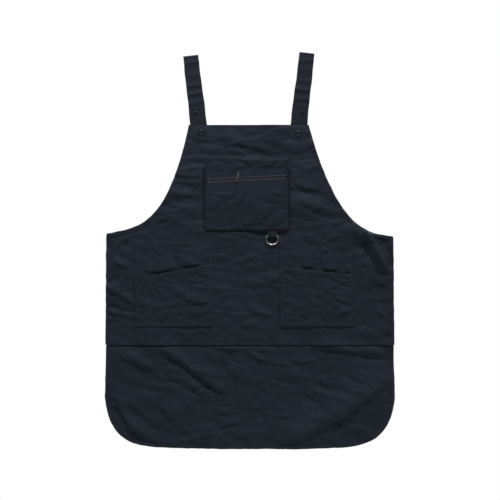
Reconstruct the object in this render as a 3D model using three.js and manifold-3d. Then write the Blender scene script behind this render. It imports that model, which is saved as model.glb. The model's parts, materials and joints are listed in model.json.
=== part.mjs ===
// Artist's smock apron: bib, lower skirt panel, zipped chest pocket, two double side pockets, D-ring,
// press-stud shoulder straps and a waist band across the back.
// Millimetres, +Z up. The apron hangs in the XZ plane and its front faces -Y. The origin lies midway
// between the two shoulder folds, where the straps turn over. Left and right are as seen from the front.
import * as THREE from "three";
import { mergeVertices } from "three/addons/utils/BufferGeometryUtils.js";
import Module from "manifold-3d";

const wasm = await Module();
wasm.setup();

// ---- Driving dimensions ----

const clearance = 0.3; // between any two pieces that touch
const cloth = 1.2; // one ply of panel cloth with its seam allowance
const curveSteps = 14; // straight steps along one curved edge

const bibTop = -185; // height of the bib's top edge
const bodyLength = 843; // bib top to hem
const skirtDepth = 270.5; // lapped seam to hem
const lapDepth = 15; // how far the skirt panel reaches up behind the body panel
const armholeDrop = 288; // bib top to underarm corner
const cornerTilt = 4; // the right underarm corner hangs this much lower, the left this much higher
const hemRise = 4; // the hem's ends lie this much above its middle
const cornerHeight = 133; // the rounded hem corners start this far above the hem
const cornerRun = 136; // and reach this far in from the sides

const sides = {
  left: {
    sign: -1,
    bib: 156.5, // half widths, from the middle
    underarm: 371.4,
    hem: 375.4,
    armhole: [57, -266, 128, -268], // the armhole curve's two handles, from the bib corner
    fold: [153.4, -4], // middle of the strap at its shoulder fold
    lean: 6.5, // degrees
    snap: [124.8, -205.4], // press stud that holds the strap
    spareSnap: [140.4, -153.4], // second stud, for a longer strap
  },
  right: {
    sign: 1,
    bib: 153,
    underarm: 373.5,
    hem: 377,
    armhole: [80, -302, 173, -281],
    fold: [149.8, 3.3],
    lean: 6.5,
    snap: [126.1, -208],
    spareSnap: [136.5, -152.1],
  },
};

const facingDepth = 40; // cloth strip behind the bib's top edge
const binding = { width: 8, thickness: 0.6 }; // bias tape folded round the raw edges

const strap = {
  front: 6, // front face of the front leg
  thickness: 1.2,
  loop: 6, // open space between its two legs
  shoulderWidth: 39,
  width: 43.5, // from the bib down
  frontLength: 226, // fold to the end behind the bib
  turnedEnd: 60, // its end is doubled over this length
};
const band = { width: 40, tab: 25, ramp: 60, thickness: 1.2, drop: 14 }; // drop: below the underarm corners

const snap = {
  capRadius: 8.5,
  capHeight: 1.7,
  socketRadius: 6.5,
  socketHeight: 1.7,
  studRadius: 6,
  studHeight: 0.8,
  postRadius: 6,
  postHeight: 0.8,
  shank: 1.7, // radius of the riveting shanks
  ball: 1.9, // radius of the stud's head and of the socket's bore less its clearance
};

const chest = {
  left: -112,
  right: 98,
  flare: 3.8, // each lower corner lies this much further out
  top: -270.5,
  topTilt: 2.6, // right end lower, left end higher
  bottom: -459.5,
  depth: 12, // height of the gusset off the body
  radius: 6,
};
const zip = {
  centre: [-7, -329.8],
  tilt: 2.9, // degrees, right end higher
  channel: 0.6, // half the gap between the two coils
  coil: 2, // width of one coil
  coilHeight: 1.4,
  tape: 12,
  tapeThickness: 0.8,
  stop: 3.5,
  endMargin: 4, // coil end to gusset
};
const slider = {
  at: -27.2, // along the zip from its centre
  length: 9,
  plate: 1.2,
  wall: 0.7, // side flanges
  play: 0.4,
  post: 0.3, // half width of the wedge between the coils
  crownGap: 2.4,
  crownBar: 1,
  crownHalf: 2.5,
};
const puller = { length: 24, half: 3.1, rim: 0.9, eye: 3.7, thickness: 0.9, lean: 20.5, hole: 1.5 };

const ring = { x: 59, wire: 1.9, span: 30.7, straight: 6, corner: 3, barZ: -475.5, steps: 9 };
const tab = { width: 25, play: 0.4, cloth: 1.1 };

const pockets = {
  left: { inner: -95.7, outer: -298.5, rearOuter: -298.5, top: -490, mouthInner: -547, mouthOuter: -586 },
  right: { inner: 79.8, outer: 278.7, rearOuter: 270, top: -491, mouthInner: -553, mouthOuter: -578 },
};
const pocketBottom = -711;
const pocketSpace = 5; // room inside each pocket layer
const pocketSeam = 3; // width of the sewn edge

// ---- Values that follow from them ----

const hemZ = bibTop - bodyLength;
const lapZ = hemZ + skirtDepth;
const bodyFront = -cloth / 2;
const bodyBack = cloth / 2;
const behindBody = bodyBack + clearance;
const beforeBody = bodyFront - clearance;
const bandLow = bibTop - armholeDrop - cornerTilt - band.drop - band.width;
const radians = (degrees) => (degrees * Math.PI) / 180;

// ---- Helpers ----

// A solid from a closed geometry, turned so that its faces point outwards.
function solid(geometry) {
  const bare = new THREE.BufferGeometry();
  bare.setAttribute("position", geometry.getAttribute("position"));
  bare.setIndex(geometry.index);
  const merged = mergeVertices(bare, 1e-4);
  const place = merged.getAttribute("position");
  const index = Array.from(merged.index.array);
  const at = (n) => new THREE.Vector3().fromBufferAttribute(place, index[n]);
  let volume = 0;
  for (let i = 0; i < index.length; i += 3) volume += at(i).dot(at(i + 1).cross(at(i + 2)));
  if (volume < 0) {
    for (let i = 0; i < index.length; i += 3) {
      [index[i + 1], index[i + 2]] = [index[i + 2], index[i + 1]];
    }
  }
  const vertProperties = new Float32Array(place.array);
  const triVerts = new Uint32Array(index);
  return new wasm.Manifold(new wasm.Mesh({ numProp: 3, vertProperties, triVerts }));
}

// The geometry of a solid.
function geometryOf(body) {
  const mesh = body.getMesh();
  const geometry = new THREE.BufferGeometry();
  geometry.setAttribute("position", new THREE.BufferAttribute(new Float32Array(mesh.vertProperties), 3));
  geometry.setIndex(new THREE.BufferAttribute(new Uint32Array(mesh.triVerts), 1));
  geometry.computeVertexNormals();
  return geometry;
}

const joined = (bodies) => bodies.reduce((whole, next) => whole.add(next));

// A flat piece parallel to the XZ plane: a shape in x and z, from its front face to its back face.
function slab(shape, front, back) {
  const settings = { depth: back - front, bevelEnabled: false, curveSegments: curveSteps };
  const geometry = new THREE.ExtrudeGeometry(shape, settings);
  geometry.rotateX(Math.PI / 2);
  geometry.translate(0, back, 0);
  return solid(geometry);
}

const polygon = (points) => new THREE.Shape(points.map(([x, z]) => new THREE.Vector2(x, z)));
const block = (x0, x1, z0, z1, front, back) =>
  slab(polygon([[x0, z0], [x1, z0], [x1, z1], [x0, z1]]), front, back);

// A round piece about an axis along Y, from a profile of [radius, y] pairs that starts and ends on the axis.
function turned(profile, x, z) {
  const geometry = new THREE.LatheGeometry(profile.map(([r, y]) => new THREE.Vector2(r, y)), 20);
  geometry.translate(x, 0, z);
  return solid(geometry);
}
const rod = (radius, front, back, x, z) =>
  turned([[0, front], [radius, front], [radius, back], [0, back]], x, z);

// The direction across an edge at its point i, towards the cloth.
function across(edge, i, inward) {
  const before = edge[Math.max(i - 1, 0)];
  const after = edge[Math.min(i + 1, edge.length - 1)];
  const along = new THREE.Vector2().subVectors(after, before).normalize();
  return new THREE.Vector2(-along.y, along.x).multiplyScalar(inward);
}
const drawnIn = (edge, distance, inward) =>
  edge.map((point, i) => across(edge, i, inward).multiplyScalar(distance).add(point));

// A strip whose cross-section, in [distance inwards from the edge, y], is carried along an edge in XZ.
function strip(edge, section, inward) {
  const positions = [];
  edge.forEach((point, i) => {
    const side = across(edge, i, inward);
    section.forEach(([n, y]) => positions.push(point.x + n * side.x, y, point.y + n * side.y));
  });
  const count = section.length;
  const index = [];
  for (let i = 0; i + 1 < edge.length; i++) {
    for (let j = 0; j < count; j++) {
      const [a, b] = [i * count + j, i * count + ((j + 1) % count)];
      index.push(a, b, a + count, b, b + count, a + count);
    }
  }
  const caps = THREE.ShapeUtils.triangulateShape(section.map(([n, y]) => new THREE.Vector2(n, y)), []);
  const last = (edge.length - 1) * count;
  const turn = THREE.ShapeUtils.area(section.map(([n, y]) => new THREE.Vector2(n, y))) > 0;
  for (const [a, b, c] of caps) {
    if (turn) index.push(a, c, b, last + a, last + b, last + c);
    else index.push(a, b, c, last + a, last + c, last + b);
  }
  const geometry = new THREE.BufferGeometry();
  geometry.setAttribute("position", new THREE.BufferAttribute(new Float32Array(positions), 3));
  geometry.setIndex(index);
  return solid(geometry);
}

// ---- Materials ----

const colours = {
  cloth: [0x262b35, 0.9, 0],
  strapCloth: [0x262b33, 0.9, 0],
  tape: [0x24282f, 0.9, 0],
  coil: [0x5a3a30, 0.45, 0],
  darkMetal: [0x2a2c30, 0.4, 0.8],
  nickel: [0xb4b2ac, 0.3, 1],
  paleMetal: [0xcfcabb, 0.3, 1],
};
const materials = Object.fromEntries(
  Object.entries(colours).map(([name, [color, roughness, metalness]]) => [
    name,
    new THREE.MeshStandardMaterial({ color, roughness, metalness }),
  ]),
);

const apron = new THREE.Group();

function add(name, body, material, parent = apron) {
  const mesh = new THREE.Mesh(geometryOf(body), materials[material]);
  mesh.name = name;
  parent.add(mesh);
}

// ---- Outline ----

// The curved edges, each from top to bottom, and the level of the lapped seam at the sides.
function edges({ sign, bib, underarm, hem, armhole }) {
  const bibCorner = new THREE.Vector2(sign * bib, bibTop);
  const underarmCorner = new THREE.Vector2(sign * underarm, bibTop - armholeDrop - sign * cornerTilt);
  const cornerStart = new THREE.Vector2(sign * hem, hemZ + cornerHeight);
  const cornerEnd = new THREE.Vector2(sign * (hem - cornerRun), hemZ + hemRise);
  const handle = (dx, dz) => new THREE.Vector2(bibCorner.x + sign * dx, bibCorner.y + dz);
  const curve = new THREE.CubicBezierCurve(
    bibCorner,
    handle(armhole[0], armhole[1]),
    handle(armhole[2], armhole[3]),
    underarmCorner,
  );
  const corner = new THREE.CubicBezierCurve(
    cornerStart,
    new THREE.Vector2(sign * (hem - cornerRun * 0.08), hemZ + cornerHeight * 0.18),
    new THREE.Vector2(sign * (hem - cornerRun * 0.53), hemZ + cornerHeight * 0.06),
    cornerEnd,
  );
  return { curve, corner, bibCorner, underarmCorner, cornerStart, cornerEnd };
}

const leftEdge = edges(sides.left);
const rightEdge = edges(sides.right);

// The x of a side edge at height z, between the underarm corner and the hem corner.
function sideAt({ underarmCorner, cornerStart }, z) {
  const share = (z - underarmCorner.y) / (cornerStart.y - underarmCorner.y);
  return underarmCorner.x + share * (cornerStart.x - underarmCorner.x);
}

// ---- Body panel, facing and skirt panel ----

function bodyPanel() {
  const left = leftEdge.curve.getPoints(curveSteps);
  const right = rightEdge.curve.getPoints(curveSteps);
  const outline = [
    ...left,
    new THREE.Vector2(sideAt(leftEdge, lapZ), lapZ),
    new THREE.Vector2(sideAt(rightEdge, lapZ), lapZ),
    ...right.reverse(),
  ];
  const holes = Object.values(sides).map(({ sign, snap: [x, z] }) =>
    rod(snap.shank + clearance, bodyFront - cloth, bodyBack + cloth, sign * x, z),
  );
  return slab(new THREE.Shape(outline), bodyFront, bodyBack).subtract(joined(holes));
}

function bibFacing() {
  const inset = binding.width + 2 * clearance;
  const whole = slab(
    new THREE.Shape([
      ...drawnIn(leftEdge.curve.getPoints(curveSteps), inset, 1),
      ...drawnIn(rightEdge.curve.getPoints(curveSteps), inset, -1).reverse(),
    ]),
    behindBody,
    behindBody + cloth,
  );
  const reach = sides.left.underarm + sides.right.underarm;
  const upper = block(-reach, reach, bibTop - facingDepth, bibTop, bodyFront, strap.front);
  const holes = Object.values(sides).map(({ sign, snap: [x, z] }) =>
    rod(snap.shank + clearance, bodyBack, behindBody + 2 * cloth, sign * x, z),
  );
  return whole.intersect(upper).subtract(joined(holes));
}

const skirtFront = behindBody;
const skirtBack = behindBody + cloth;
const hemMiddle = new THREE.QuadraticBezierCurve(
  leftEdge.cornerEnd,
  new THREE.Vector2((leftEdge.cornerEnd.x + rightEdge.cornerEnd.x) / 2, hemZ - hemRise),
  rightEdge.cornerEnd,
);

function skirtPanel() {
  const inset = binding.width + 2 * clearance;
  const shoulder = lapZ - clearance;
  const top = lapZ + lapDepth;
  const outline = [
    new THREE.Vector2(sideAt(leftEdge, top) + inset, top),
    new THREE.Vector2(sideAt(leftEdge, shoulder) + inset, shoulder),
    new THREE.Vector2(sideAt(leftEdge, shoulder), shoulder),
    ...leftEdge.corner.getPoints(curveSteps),
    ...hemMiddle.getPoints(curveSteps).slice(1, -1),
    ...rightEdge.corner.getPoints(curveSteps).reverse(),
    new THREE.Vector2(sideAt(rightEdge, shoulder), shoulder),
    new THREE.Vector2(sideAt(rightEdge, shoulder) - inset, shoulder),
    new THREE.Vector2(sideAt(rightEdge, top) - inset, top),
  ];
  return slab(new THREE.Shape(outline), skirtFront, skirtBack);
}

// The U of a bias tape round an edge whose cloth runs from front to back.
function tapeSection(front, back) {
  const { width, thickness } = binding;
  const outer = -clearance - thickness;
  return [
    [width, front - clearance - thickness],
    [outer, front - clearance - thickness],
    [outer, back + clearance + thickness],
    [width, back + clearance + thickness],
    [width, back + clearance],
    [-clearance, back + clearance],
    [-clearance, front - clearance],
    [width, front - clearance],
  ];
}

add("body_panel", bodyPanel(), "cloth");
add("skirt_panel", skirtPanel(), "cloth");
add("bib_facing", bibFacing(), "cloth");
for (const [name, edge] of Object.entries({ left: leftEdge, right: rightEdge })) {
  const inward = name === "left" ? 1 : -1;
  const section = tapeSection(bodyFront, bodyBack);
  add(`armhole_binding_${name}`, strip(edge.curve.getPoints(curveSteps), section, inward), "cloth");
  // the side's tape is cut off level with the lapped seam
  const sideTop = edge.underarmCorner.y - binding.width - 4 * clearance;
  const side = [sideTop, lapZ - binding.width].map((z) => new THREE.Vector2(sideAt(edge, z), z));
  const reach = 2 * Math.max(Math.abs(edge.underarmCorner.x), Math.abs(edge.cornerStart.x));
  const aboveLap = block(-reach, reach, lapZ, bibTop, bodyFront - cloth, bodyBack + cloth);
  add(`side_binding_${name}`, strip(side, section, inward).intersect(aboveLap), "cloth");
}
const hemTop = lapZ - binding.thickness - clearance;
const hemEdge = [
  new THREE.Vector2(sideAt(leftEdge, hemTop), hemTop),
  ...leftEdge.corner.getPoints(curveSteps),
  ...hemMiddle.getPoints(curveSteps).slice(1, -1),
  ...rightEdge.corner.getPoints(curveSteps).reverse(),
  new THREE.Vector2(sideAt(rightEdge, hemTop), hemTop),
];
add("skirt_binding", strip(hemEdge, tapeSection(skirtFront, skirtBack), 1), "cloth");

// ---- Shoulder straps and waist band ----

const legBack = strap.front + strap.thickness; // back face of the front leg
const backLegFront = legBack + strap.loop;
const strapBack = backLegFront + strap.thickness;
const bandBack = backLegFront - clearance;
const bandFront = bandBack - band.thickness;

// A strap in its own frame, +Z up along it and its shoulder fold at the origin, for a given back leg.
function strapBody(backLength) {
  const centre = (strap.front + strapBack) / 2;
  const outer = (strapBack - strap.front) / 2;
  const inner = outer - strap.thickness;
  const profile = new THREE.Shape();
  profile.moveTo(strap.front, -strap.frontLength);
  profile.lineTo(strap.front, -outer);
  profile.absarc(centre, -outer, outer, Math.PI, 0, true);
  profile.lineTo(strapBack, -backLength);
  profile.lineTo(backLegFront, -backLength);
  profile.lineTo(backLegFront, -outer);
  profile.absarc(centre, -outer, inner, 0, Math.PI, false);
  profile.lineTo(legBack, strap.turnedEnd - strap.frontLength);
  profile.lineTo(legBack + strap.thickness, strap.turnedEnd - strap.frontLength);
  profile.lineTo(legBack + strap.thickness, -strap.frontLength);
  const wide = new THREE.ExtrudeGeometry(profile, {
    depth: strap.width,
    bevelEnabled: false,
    curveSegments: curveSteps,
  });
  wide.translate(0, 0, -strap.width / 2);
  // the profile's x, y and depth become y, z and x
  wide.applyMatrix4(new THREE.Matrix4().set(0, 0, 1, 0, 1, 0, 0, 0, 0, 1, 0, 0, 0, 0, 0, 1));
  const [narrow, full] = [strap.shoulderWidth / 2, strap.width / 2];
  const taper = polygon([
    [-narrow, outer],
    [-narrow, 0],
    [-full, bibTop],
    [-full, -2 * backLength],
    [full, -2 * backLength],
    [full, bibTop],
    [narrow, 0],
    [narrow, outer],
  ]);
  return solid(wide).intersect(slab(taper, -strapBack, 2 * strapBack));
}

// The strap turned to its lean and moved to its fold, with the holes for its two studs.
function placedStrap({ sign, fold, lean, snap: held, spareSnap }) {
  const hung = strapBody((fold[1] - bandLow) / Math.cos(radians(lean)))
    .rotate([0, sign * lean, 0])
    .translate([sign * fold[0], 0, fold[1]]);
  const holes = [held, spareSnap].map(([x, z]) =>
    rod(snap.shank + clearance, strap.front - cloth, backLegFront - cloth, sign * x, z),
  );
  return hung.subtract(joined(holes));
}

// The stud at the front of the strap, over the shank of the post riveted through from behind.
function stud(x, z) {
  const base = strap.front - clearance;
  const neck = base - snap.studHeight;
  const head = behindBody + cloth + 3 * clearance;
  const bore = snap.shank + clearance / 2;
  return turned(
    [
      [0, head],
      [snap.ball - 0.4, head],
      [snap.ball, head + 0.4],
      [snap.ball, neck],
      [snap.studRadius, neck + 0.3],
      [snap.studRadius, base],
      [bore / 2, base],
      [bore / 2, neck + 0.2],
      [0, neck + 0.2],
    ],
    x,
    z,
  );
}

function post(x, z, clothBack) {
  const seat = clothBack + clearance;
  const tip = strap.front - clearance - snap.studHeight / 2;
  const shank = snap.shank / 2 - clearance / 2;
  return turned(
    [
      [0, tip],
      [shank, tip],
      [shank, seat],
      [snap.postRadius, seat],
      [snap.postRadius, seat + snap.postHeight - 0.3],
      [snap.postRadius - 1, seat + snap.postHeight],
      [0, seat + snap.postHeight],
    ],
    x,
    z,
  );
}

function cap(x, z) {
  const seat = beforeBody;
  const tip = behindBody + cloth + 2 * clearance;
  return turned(
    [
      [0, seat - snap.capHeight],
      [snap.capRadius * 0.45, seat - snap.capHeight * 0.92],
      [snap.capRadius * 0.8, seat - snap.capHeight * 0.65],
      [snap.capRadius, seat - snap.capHeight * 0.2],
      [snap.capRadius, seat],
      [snap.shank, seat],
      [snap.shank, tip],
      [0, tip],
    ],
    x,
    z,
  );
}

function socket(x, z) {
  const seat = behindBody + cloth + clearance;
  const bore = snap.ball + clearance;
  const outer = rod(snap.socketRadius, seat, seat + snap.socketHeight, x, z);
  return outer.subtract(rod(bore, seat - cloth, seat + 2 * snap.socketHeight, x, z));
}

for (const [name, side] of Object.entries(sides)) {
  const [x, z] = [side.sign * side.snap[0], side.snap[1]];
  const [spareX, spareZ] = [side.sign * side.spareSnap[0], side.spareSnap[1]];
  add(`shoulder_strap_${name}`, placedStrap(side), "strapCloth");
  add(`snap_cap_${name}`, cap(x, z), "darkMetal");
  add(`snap_socket_${name}`, socket(x, z), "darkMetal");
  add(`snap_stud_${name}`, stud(x, z), "darkMetal");
  add(`snap_post_${name}`, post(x, z, legBack + strap.thickness), "darkMetal");
  add(`spare_stud_${name}`, stud(spareX, spareZ), "darkMetal");
  add(`spare_post_${name}`, post(spareX, spareZ, legBack), "darkMetal");
}

// The band runs across behind the body. Its end tabs lie on the body's back, at the underarm corners.
function waistBand() {
  const reach = (edge) => Math.abs(edge.underarmCorner.x) - binding.width - 2 * clearance;
  const [left, right] = [-reach(leftEdge), reach(rightEdge)];
  const profile = polygon([
    [left, behindBody],
    [left + band.tab, behindBody],
    [left + band.tab + band.ramp, bandFront],
    [right - band.tab - band.ramp, bandFront],
    [right - band.tab, behindBody],
    [right, behindBody],
    [right, behindBody + band.thickness],
    [right - band.tab, behindBody + band.thickness],
    [right - band.tab - band.ramp, bandBack],
    [left + band.tab + band.ramp, bandBack],
    [left + band.tab, behindBody + band.thickness],
    [left, behindBody + band.thickness],
  ]);
  const geometry = new THREE.ExtrudeGeometry(profile, { depth: band.width, bevelEnabled: false });
  geometry.translate(0, 0, bandLow);
  return solid(geometry);
}
add("waist_band", waistBand(), "strapCloth");

// ---- Chest pocket ----

// The pocket's outline, drawn in by inset.
function chestOutline(inset) {
  const corners = [
    [chest.left + inset, chest.top + chest.topTilt - inset],
    [chest.right - inset, chest.top - chest.topTilt - inset],
    [chest.right + chest.flare - inset, chest.bottom + inset],
    [chest.left - chest.flare + inset, chest.bottom + inset],
  ].map(([x, z]) => new THREE.Vector2(x, z));
  const shape = new THREE.Shape();
  const reach = Math.max(chest.radius - inset, 1);
  corners.forEach((corner, i) => {
    const before = corners[(i + 3) % 4].clone().sub(corner).setLength(reach).add(corner);
    const after = corners[(i + 1) % 4].clone().sub(corner).setLength(reach).add(corner);
    if (i === 0) shape.moveTo(before.x, before.y);
    else shape.lineTo(before.x, before.y);
    shape.quadraticCurveTo(corner.x, corner.y, after.x, after.y);
  });
  return shape;
}

const gussetFront = beforeBody - chest.depth;
const panelBack = gussetFront - clearance;
const panelFront = panelBack - cloth;
const coilOuter = zip.channel + zip.coil;
const sliderHalf = coilOuter + clearance + slider.wall;
const zipWindow = sliderHalf + slider.play; // half height of the slot between the panels
const tapeFront = panelBack + clearance;
const tapeBack = tapeFront + zip.tapeThickness;

// Pieces of the zip are made along X about its centre, then moved and turned into place.
const zipPlaced = (body) =>
  body.rotate([0, -zip.tilt, 0]).translate([zip.centre[0], 0, zip.centre[1]]);
const chestHalf = (chest.right - chest.left) / 2;
const far = 2 * chestHalf + Math.abs(chest.top - chest.bottom);

const gusset = slab(chestOutline(0), gussetFront, beforeBody).subtract(
  slab(chestOutline(cloth), gussetFront - cloth, beforeBody + cloth),
);
add("chest_pocket_gusset", gusset, "cloth");

for (const [name, sign] of [["upper", 1], ["lower", -1]]) {
  const half = zipPlaced(
    sign > 0
      ? block(-far, far, zipWindow, far, panelFront - cloth, panelBack + cloth)
      : block(-far, far, -far, -zipWindow, panelFront - cloth, panelBack + cloth),
  );
  add(`chest_pocket_${name}_panel`, slab(chestOutline(0), panelFront, panelBack).intersect(half), "cloth");
  const [low, high] = sign > 0 ? [zip.channel, zip.tape] : [-zip.tape, -zip.channel];
  const tape = zipPlaced(block(-far, far, low, high, tapeFront, tapeBack));
  const room = slab(chestOutline(cloth + clearance), tapeFront - cloth, tapeBack + cloth);
  add(`zip_tape_${name}`, tape.intersect(room), "tape");
}

const coilHalf = chestHalf - cloth - zip.endMargin;
const coilBack = tapeFront - clearance;
const coilFront = coilBack - zip.coilHeight;
for (const [name, sign] of [["upper", 1], ["lower", -1]]) {
  const [low, high] = sign > 0 ? [zip.channel, coilOuter] : [-coilOuter, -zip.channel];
  const inner = coilHalf - zip.stop - clearance;
  add(`zip_coil_${name}`, zipPlaced(block(-inner, inner, low, high, coilFront, coilBack)), "coil");
  const stop = block(-coilHalf, zip.stop - coilHalf, low, high, coilFront - clearance, coilBack);
  add(`zip_top_stop_${name}`, zipPlaced(stop), "nickel");
}
const endStop = block(
  coilHalf - zip.stop, coilHalf, -coilOuter, coilOuter, coilFront - clearance, coilBack);
add("zip_bottom_stop", zipPlaced(endStop), "nickel");

// ---- Slider and puller ----

const sliderBack = coilFront - slider.play; // back face of its front plate
const sliderFront = sliderBack - slider.plate;
const pullerY = sliderFront - slider.crownGap / 2;

function sliderBody() {
  const { length, wall, post: wedge, crownBar, crownHalf, crownGap } = slider;
  const half = length / 2;
  const nose = half - 2;
  const plate = (front, back) =>
    slab(
      polygon([
        [-half, -sliderHalf + 1],
        [-nose, -sliderHalf],
        [nose, -sliderHalf],
        [half, -sliderHalf + 1.5],
        [half, sliderHalf - 1.5],
        [nose, sliderHalf],
        [-nose, sliderHalf],
        [-half, sliderHalf - 1],
      ]),
      front,
      back,
    );
  const rearFront = tapeBack + slider.play;
  const crownFront = sliderFront - crownGap - crownBar;
  const legs = crownHalf - crownBar;
  return joined([
    plate(sliderFront, sliderBack),
    plate(rearFront, rearFront + slider.plate),
    block(-nose, nose, sliderHalf - wall, sliderHalf, sliderBack - 0.1, coilBack - clearance),
    block(-nose, nose, -sliderHalf, wall - sliderHalf, sliderBack - 0.1, coilBack - clearance),
    block(-half + 0.5, -half + 3, -wedge, wedge, sliderBack - 0.1, rearFront + 0.1),
    block(-crownBar, crownBar, legs, crownHalf, crownFront, sliderFront + 0.1),
    block(-crownBar, crownBar, -crownHalf, -legs, crownFront, sliderFront + 0.1),
    block(-crownBar, crownBar, -crownHalf, crownHalf, crownFront, crownFront + crownBar),
  ]);
}

const sliderPlaced = (body) => zipPlaced(body.translate([slider.at, 0, 0]));
add("zip_slider", sliderPlaced(sliderBody()), "nickel");

// The puller's crossbar lies in the slider's crown, and the puller leans back on the pocket's upper panel.
function pullerBody() {
  const { length, half, rim, eye, thickness, hole } = puller;
  const shape = new THREE.Shape();
  shape.moveTo(-half, -thickness / 2);
  shape.lineTo(half, -thickness / 2);
  shape.lineTo(half, eye + rim);
  shape.quadraticCurveTo(half * 0.75, length * 0.5, half, length - half);
  shape.absarc(0, length - half, half, 0, Math.PI, false);
  shape.quadraticCurveTo(-half * 0.75, length * 0.5, -half, eye + rim);
  const opening = polygon([
    [rim - half, thickness / 2],
    [half - rim, thickness / 2],
    [half - rim, eye],
    [rim - half, eye],
  ]);
  const round = new THREE.Path();
  round.absarc(0, length - half, hole, 0, 2 * Math.PI, true);
  shape.holes.push(opening, round);
  return slab(shape, -thickness / 2, thickness / 2);
}
const restGap = panelFront - clearance - puller.thickness / 2 - pullerY;
const pullerRest = (Math.asin(restGap / puller.length) * 180) / Math.PI;
const restingPuller = pullerBody()
  .rotate([-pullerRest, 0, 0])
  .rotate([0, puller.lean, 0])
  .translate([0, pullerY, 0]);
add("zip_puller", sliderPlaced(restingPuller), "nickel");

// ---- D-ring and its tab ----

const ringBore = ring.wire + tab.play;
const ringY = beforeBody - tab.cloth - ringBore;

// The ring's centre line, a D with its straight bar uppermost.
function ringPath() {
  const half = ring.span / 2;
  const low = ring.barZ - ring.straight;
  const shape = new THREE.Shape();
  shape.moveTo(0, ring.barZ);
  shape.lineTo(half - ring.corner, ring.barZ);
  shape.quadraticCurveTo(half, ring.barZ, half, ring.barZ - ring.corner);
  shape.lineTo(half, low);
  shape.absarc(0, low, half, 0, -Math.PI, true);
  shape.lineTo(-half, ring.barZ - ring.corner);
  shape.quadraticCurveTo(-half, ring.barZ, ring.corner - half, ring.barZ);
  shape.closePath();
  const points = shape.getPoints(ring.steps);
  return points.filter((point, i) => i === 0 || point.distanceTo(points[i - 1]) > 0.05).slice(0, -1);
}

// A round wire bent along a closed path in XZ.
function wireLoop(path, radius, y) {
  const facets = 10;
  const positions = [];
  const index = [];
  path.forEach((point, i) => {
    const before = path[(i + path.length - 1) % path.length];
    const after = path[(i + 1) % path.length];
    const along = new THREE.Vector2().subVectors(after, before).normalize();
    for (let k = 0; k < facets; k++) {
      const angle = (2 * Math.PI * k) / facets;
      const out = radius * Math.cos(angle);
      positions.push(point.x + out * along.y, y + radius * Math.sin(angle), point.y - out * along.x);
      const a = i * facets + k;
      const b = i * facets + ((k + 1) % facets);
      const next = ((i + 1) % path.length) * facets;
      const c = next + k;
      const d = next + ((k + 1) % facets);
      index.push(a, b, c, b, d, c);
    }
  });
  const geometry = new THREE.BufferGeometry();
  geometry.setAttribute("position", new THREE.BufferAttribute(new Float32Array(positions), 3));
  geometry.setIndex(index);
  return solid(geometry);
}
add("d_ring", wireLoop(ringPath(), ring.wire, ringY).translate([ring.x, 0, 0]), "paleMetal");

// A folded tab: it hangs from the pocket's bottom edge, and the ring's bar runs through its loop.
function ringTab() {
  const outer = ringBore + tab.cloth;
  const profile = new THREE.Shape();
  profile.moveTo(beforeBody, chest.bottom - clearance);
  profile.lineTo(beforeBody - 2 * tab.cloth, chest.bottom - clearance);
  profile.lineTo(ringY - outer * 0.8, ring.barZ + outer * 0.6);
  profile.absarc(ringY, ring.barZ, outer, Math.PI - 0.64, 2 * Math.PI, false);
  const bore = new THREE.Path();
  bore.absarc(ringY, ring.barZ, ringBore, 0, 2 * Math.PI, true);
  profile.holes.push(bore);
  const settings = { depth: tab.width, bevelEnabled: false, curveSegments: curveSteps };
  const geometry = new THREE.ExtrudeGeometry(profile, settings);
  geometry.translate(0, 0, ring.x - tab.width / 2);
  // the profile's x, y and depth become y, z and x
  geometry.applyMatrix4(new THREE.Matrix4().set(0, 0, 1, 0, 1, 0, 0, 0, 0, 1, 0, 0, 0, 0, 0, 1));
  return solid(geometry);
}
add("d_ring_tab", ringTab(), "strapCloth");

// ---- Side pockets ----

// A patch with one open edge at its top: cloth in front, sewn edges at the sides and bottom.
function patch(inner, outer, innerTop, outerTop, back) {
  const sign = Math.sign(outer - inner);
  const front = back - pocketSpace - cloth;
  const [a, b] = [inner + sign * pocketSeam, outer - sign * pocketSeam];
  const above = Math.max(innerTop, outerTop) + cloth;
  const floor = pocketBottom + pocketSeam;
  const space = polygon([[a, above], [b, above], [b, floor], [a, floor]]);
  const whole = polygon([
    [inner, innerTop],
    [outer, outerTop],
    [outer, pocketBottom],
    [inner, pocketBottom],
  ]);
  return slab(whole, front, back).subtract(slab(space, back - pocketSpace, back + cloth));
}

const frontLayerBack = beforeBody - pocketSpace - cloth - clearance;
for (const [name, p] of Object.entries(pockets)) {
  add(`${name}_pocket_rear_layer`, patch(p.inner, p.rearOuter, p.top, p.top, beforeBody), "cloth");
  let front = patch(p.inner, p.outer, p.mouthInner, p.mouthOuter, frontLayerBack);
  const overhang = Math.abs(p.outer - p.rearOuter);
  if (overhang > clearance) {
    // the front layer reaches past the rear one there, so its edge goes down to the body
    const sign = Math.sign(p.outer);
    const [x0, x1] = [p.rearOuter + sign * clearance, p.outer].sort((a, b) => a - b);
    const edge = block(x0, x1, pocketBottom, p.mouthOuter, frontLayerBack - clearance, beforeBody);
    front = front.add(edge);
  }
  add(`${name}_pocket_front_layer`, front, "cloth");
}

export default apron;
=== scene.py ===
# Artist's smock apron, hung by its shoulder folds: cotton cloth, press studs, a coil zip and a D-ring.
# Metres, in the frame of the CAD model: +Z up, the front faces -Y, left and right as seen from the front.
import json
import math

import bmesh
import bpy
import numpy as np
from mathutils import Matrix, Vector
from mathutils.bvhtree import BVHTree


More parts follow.
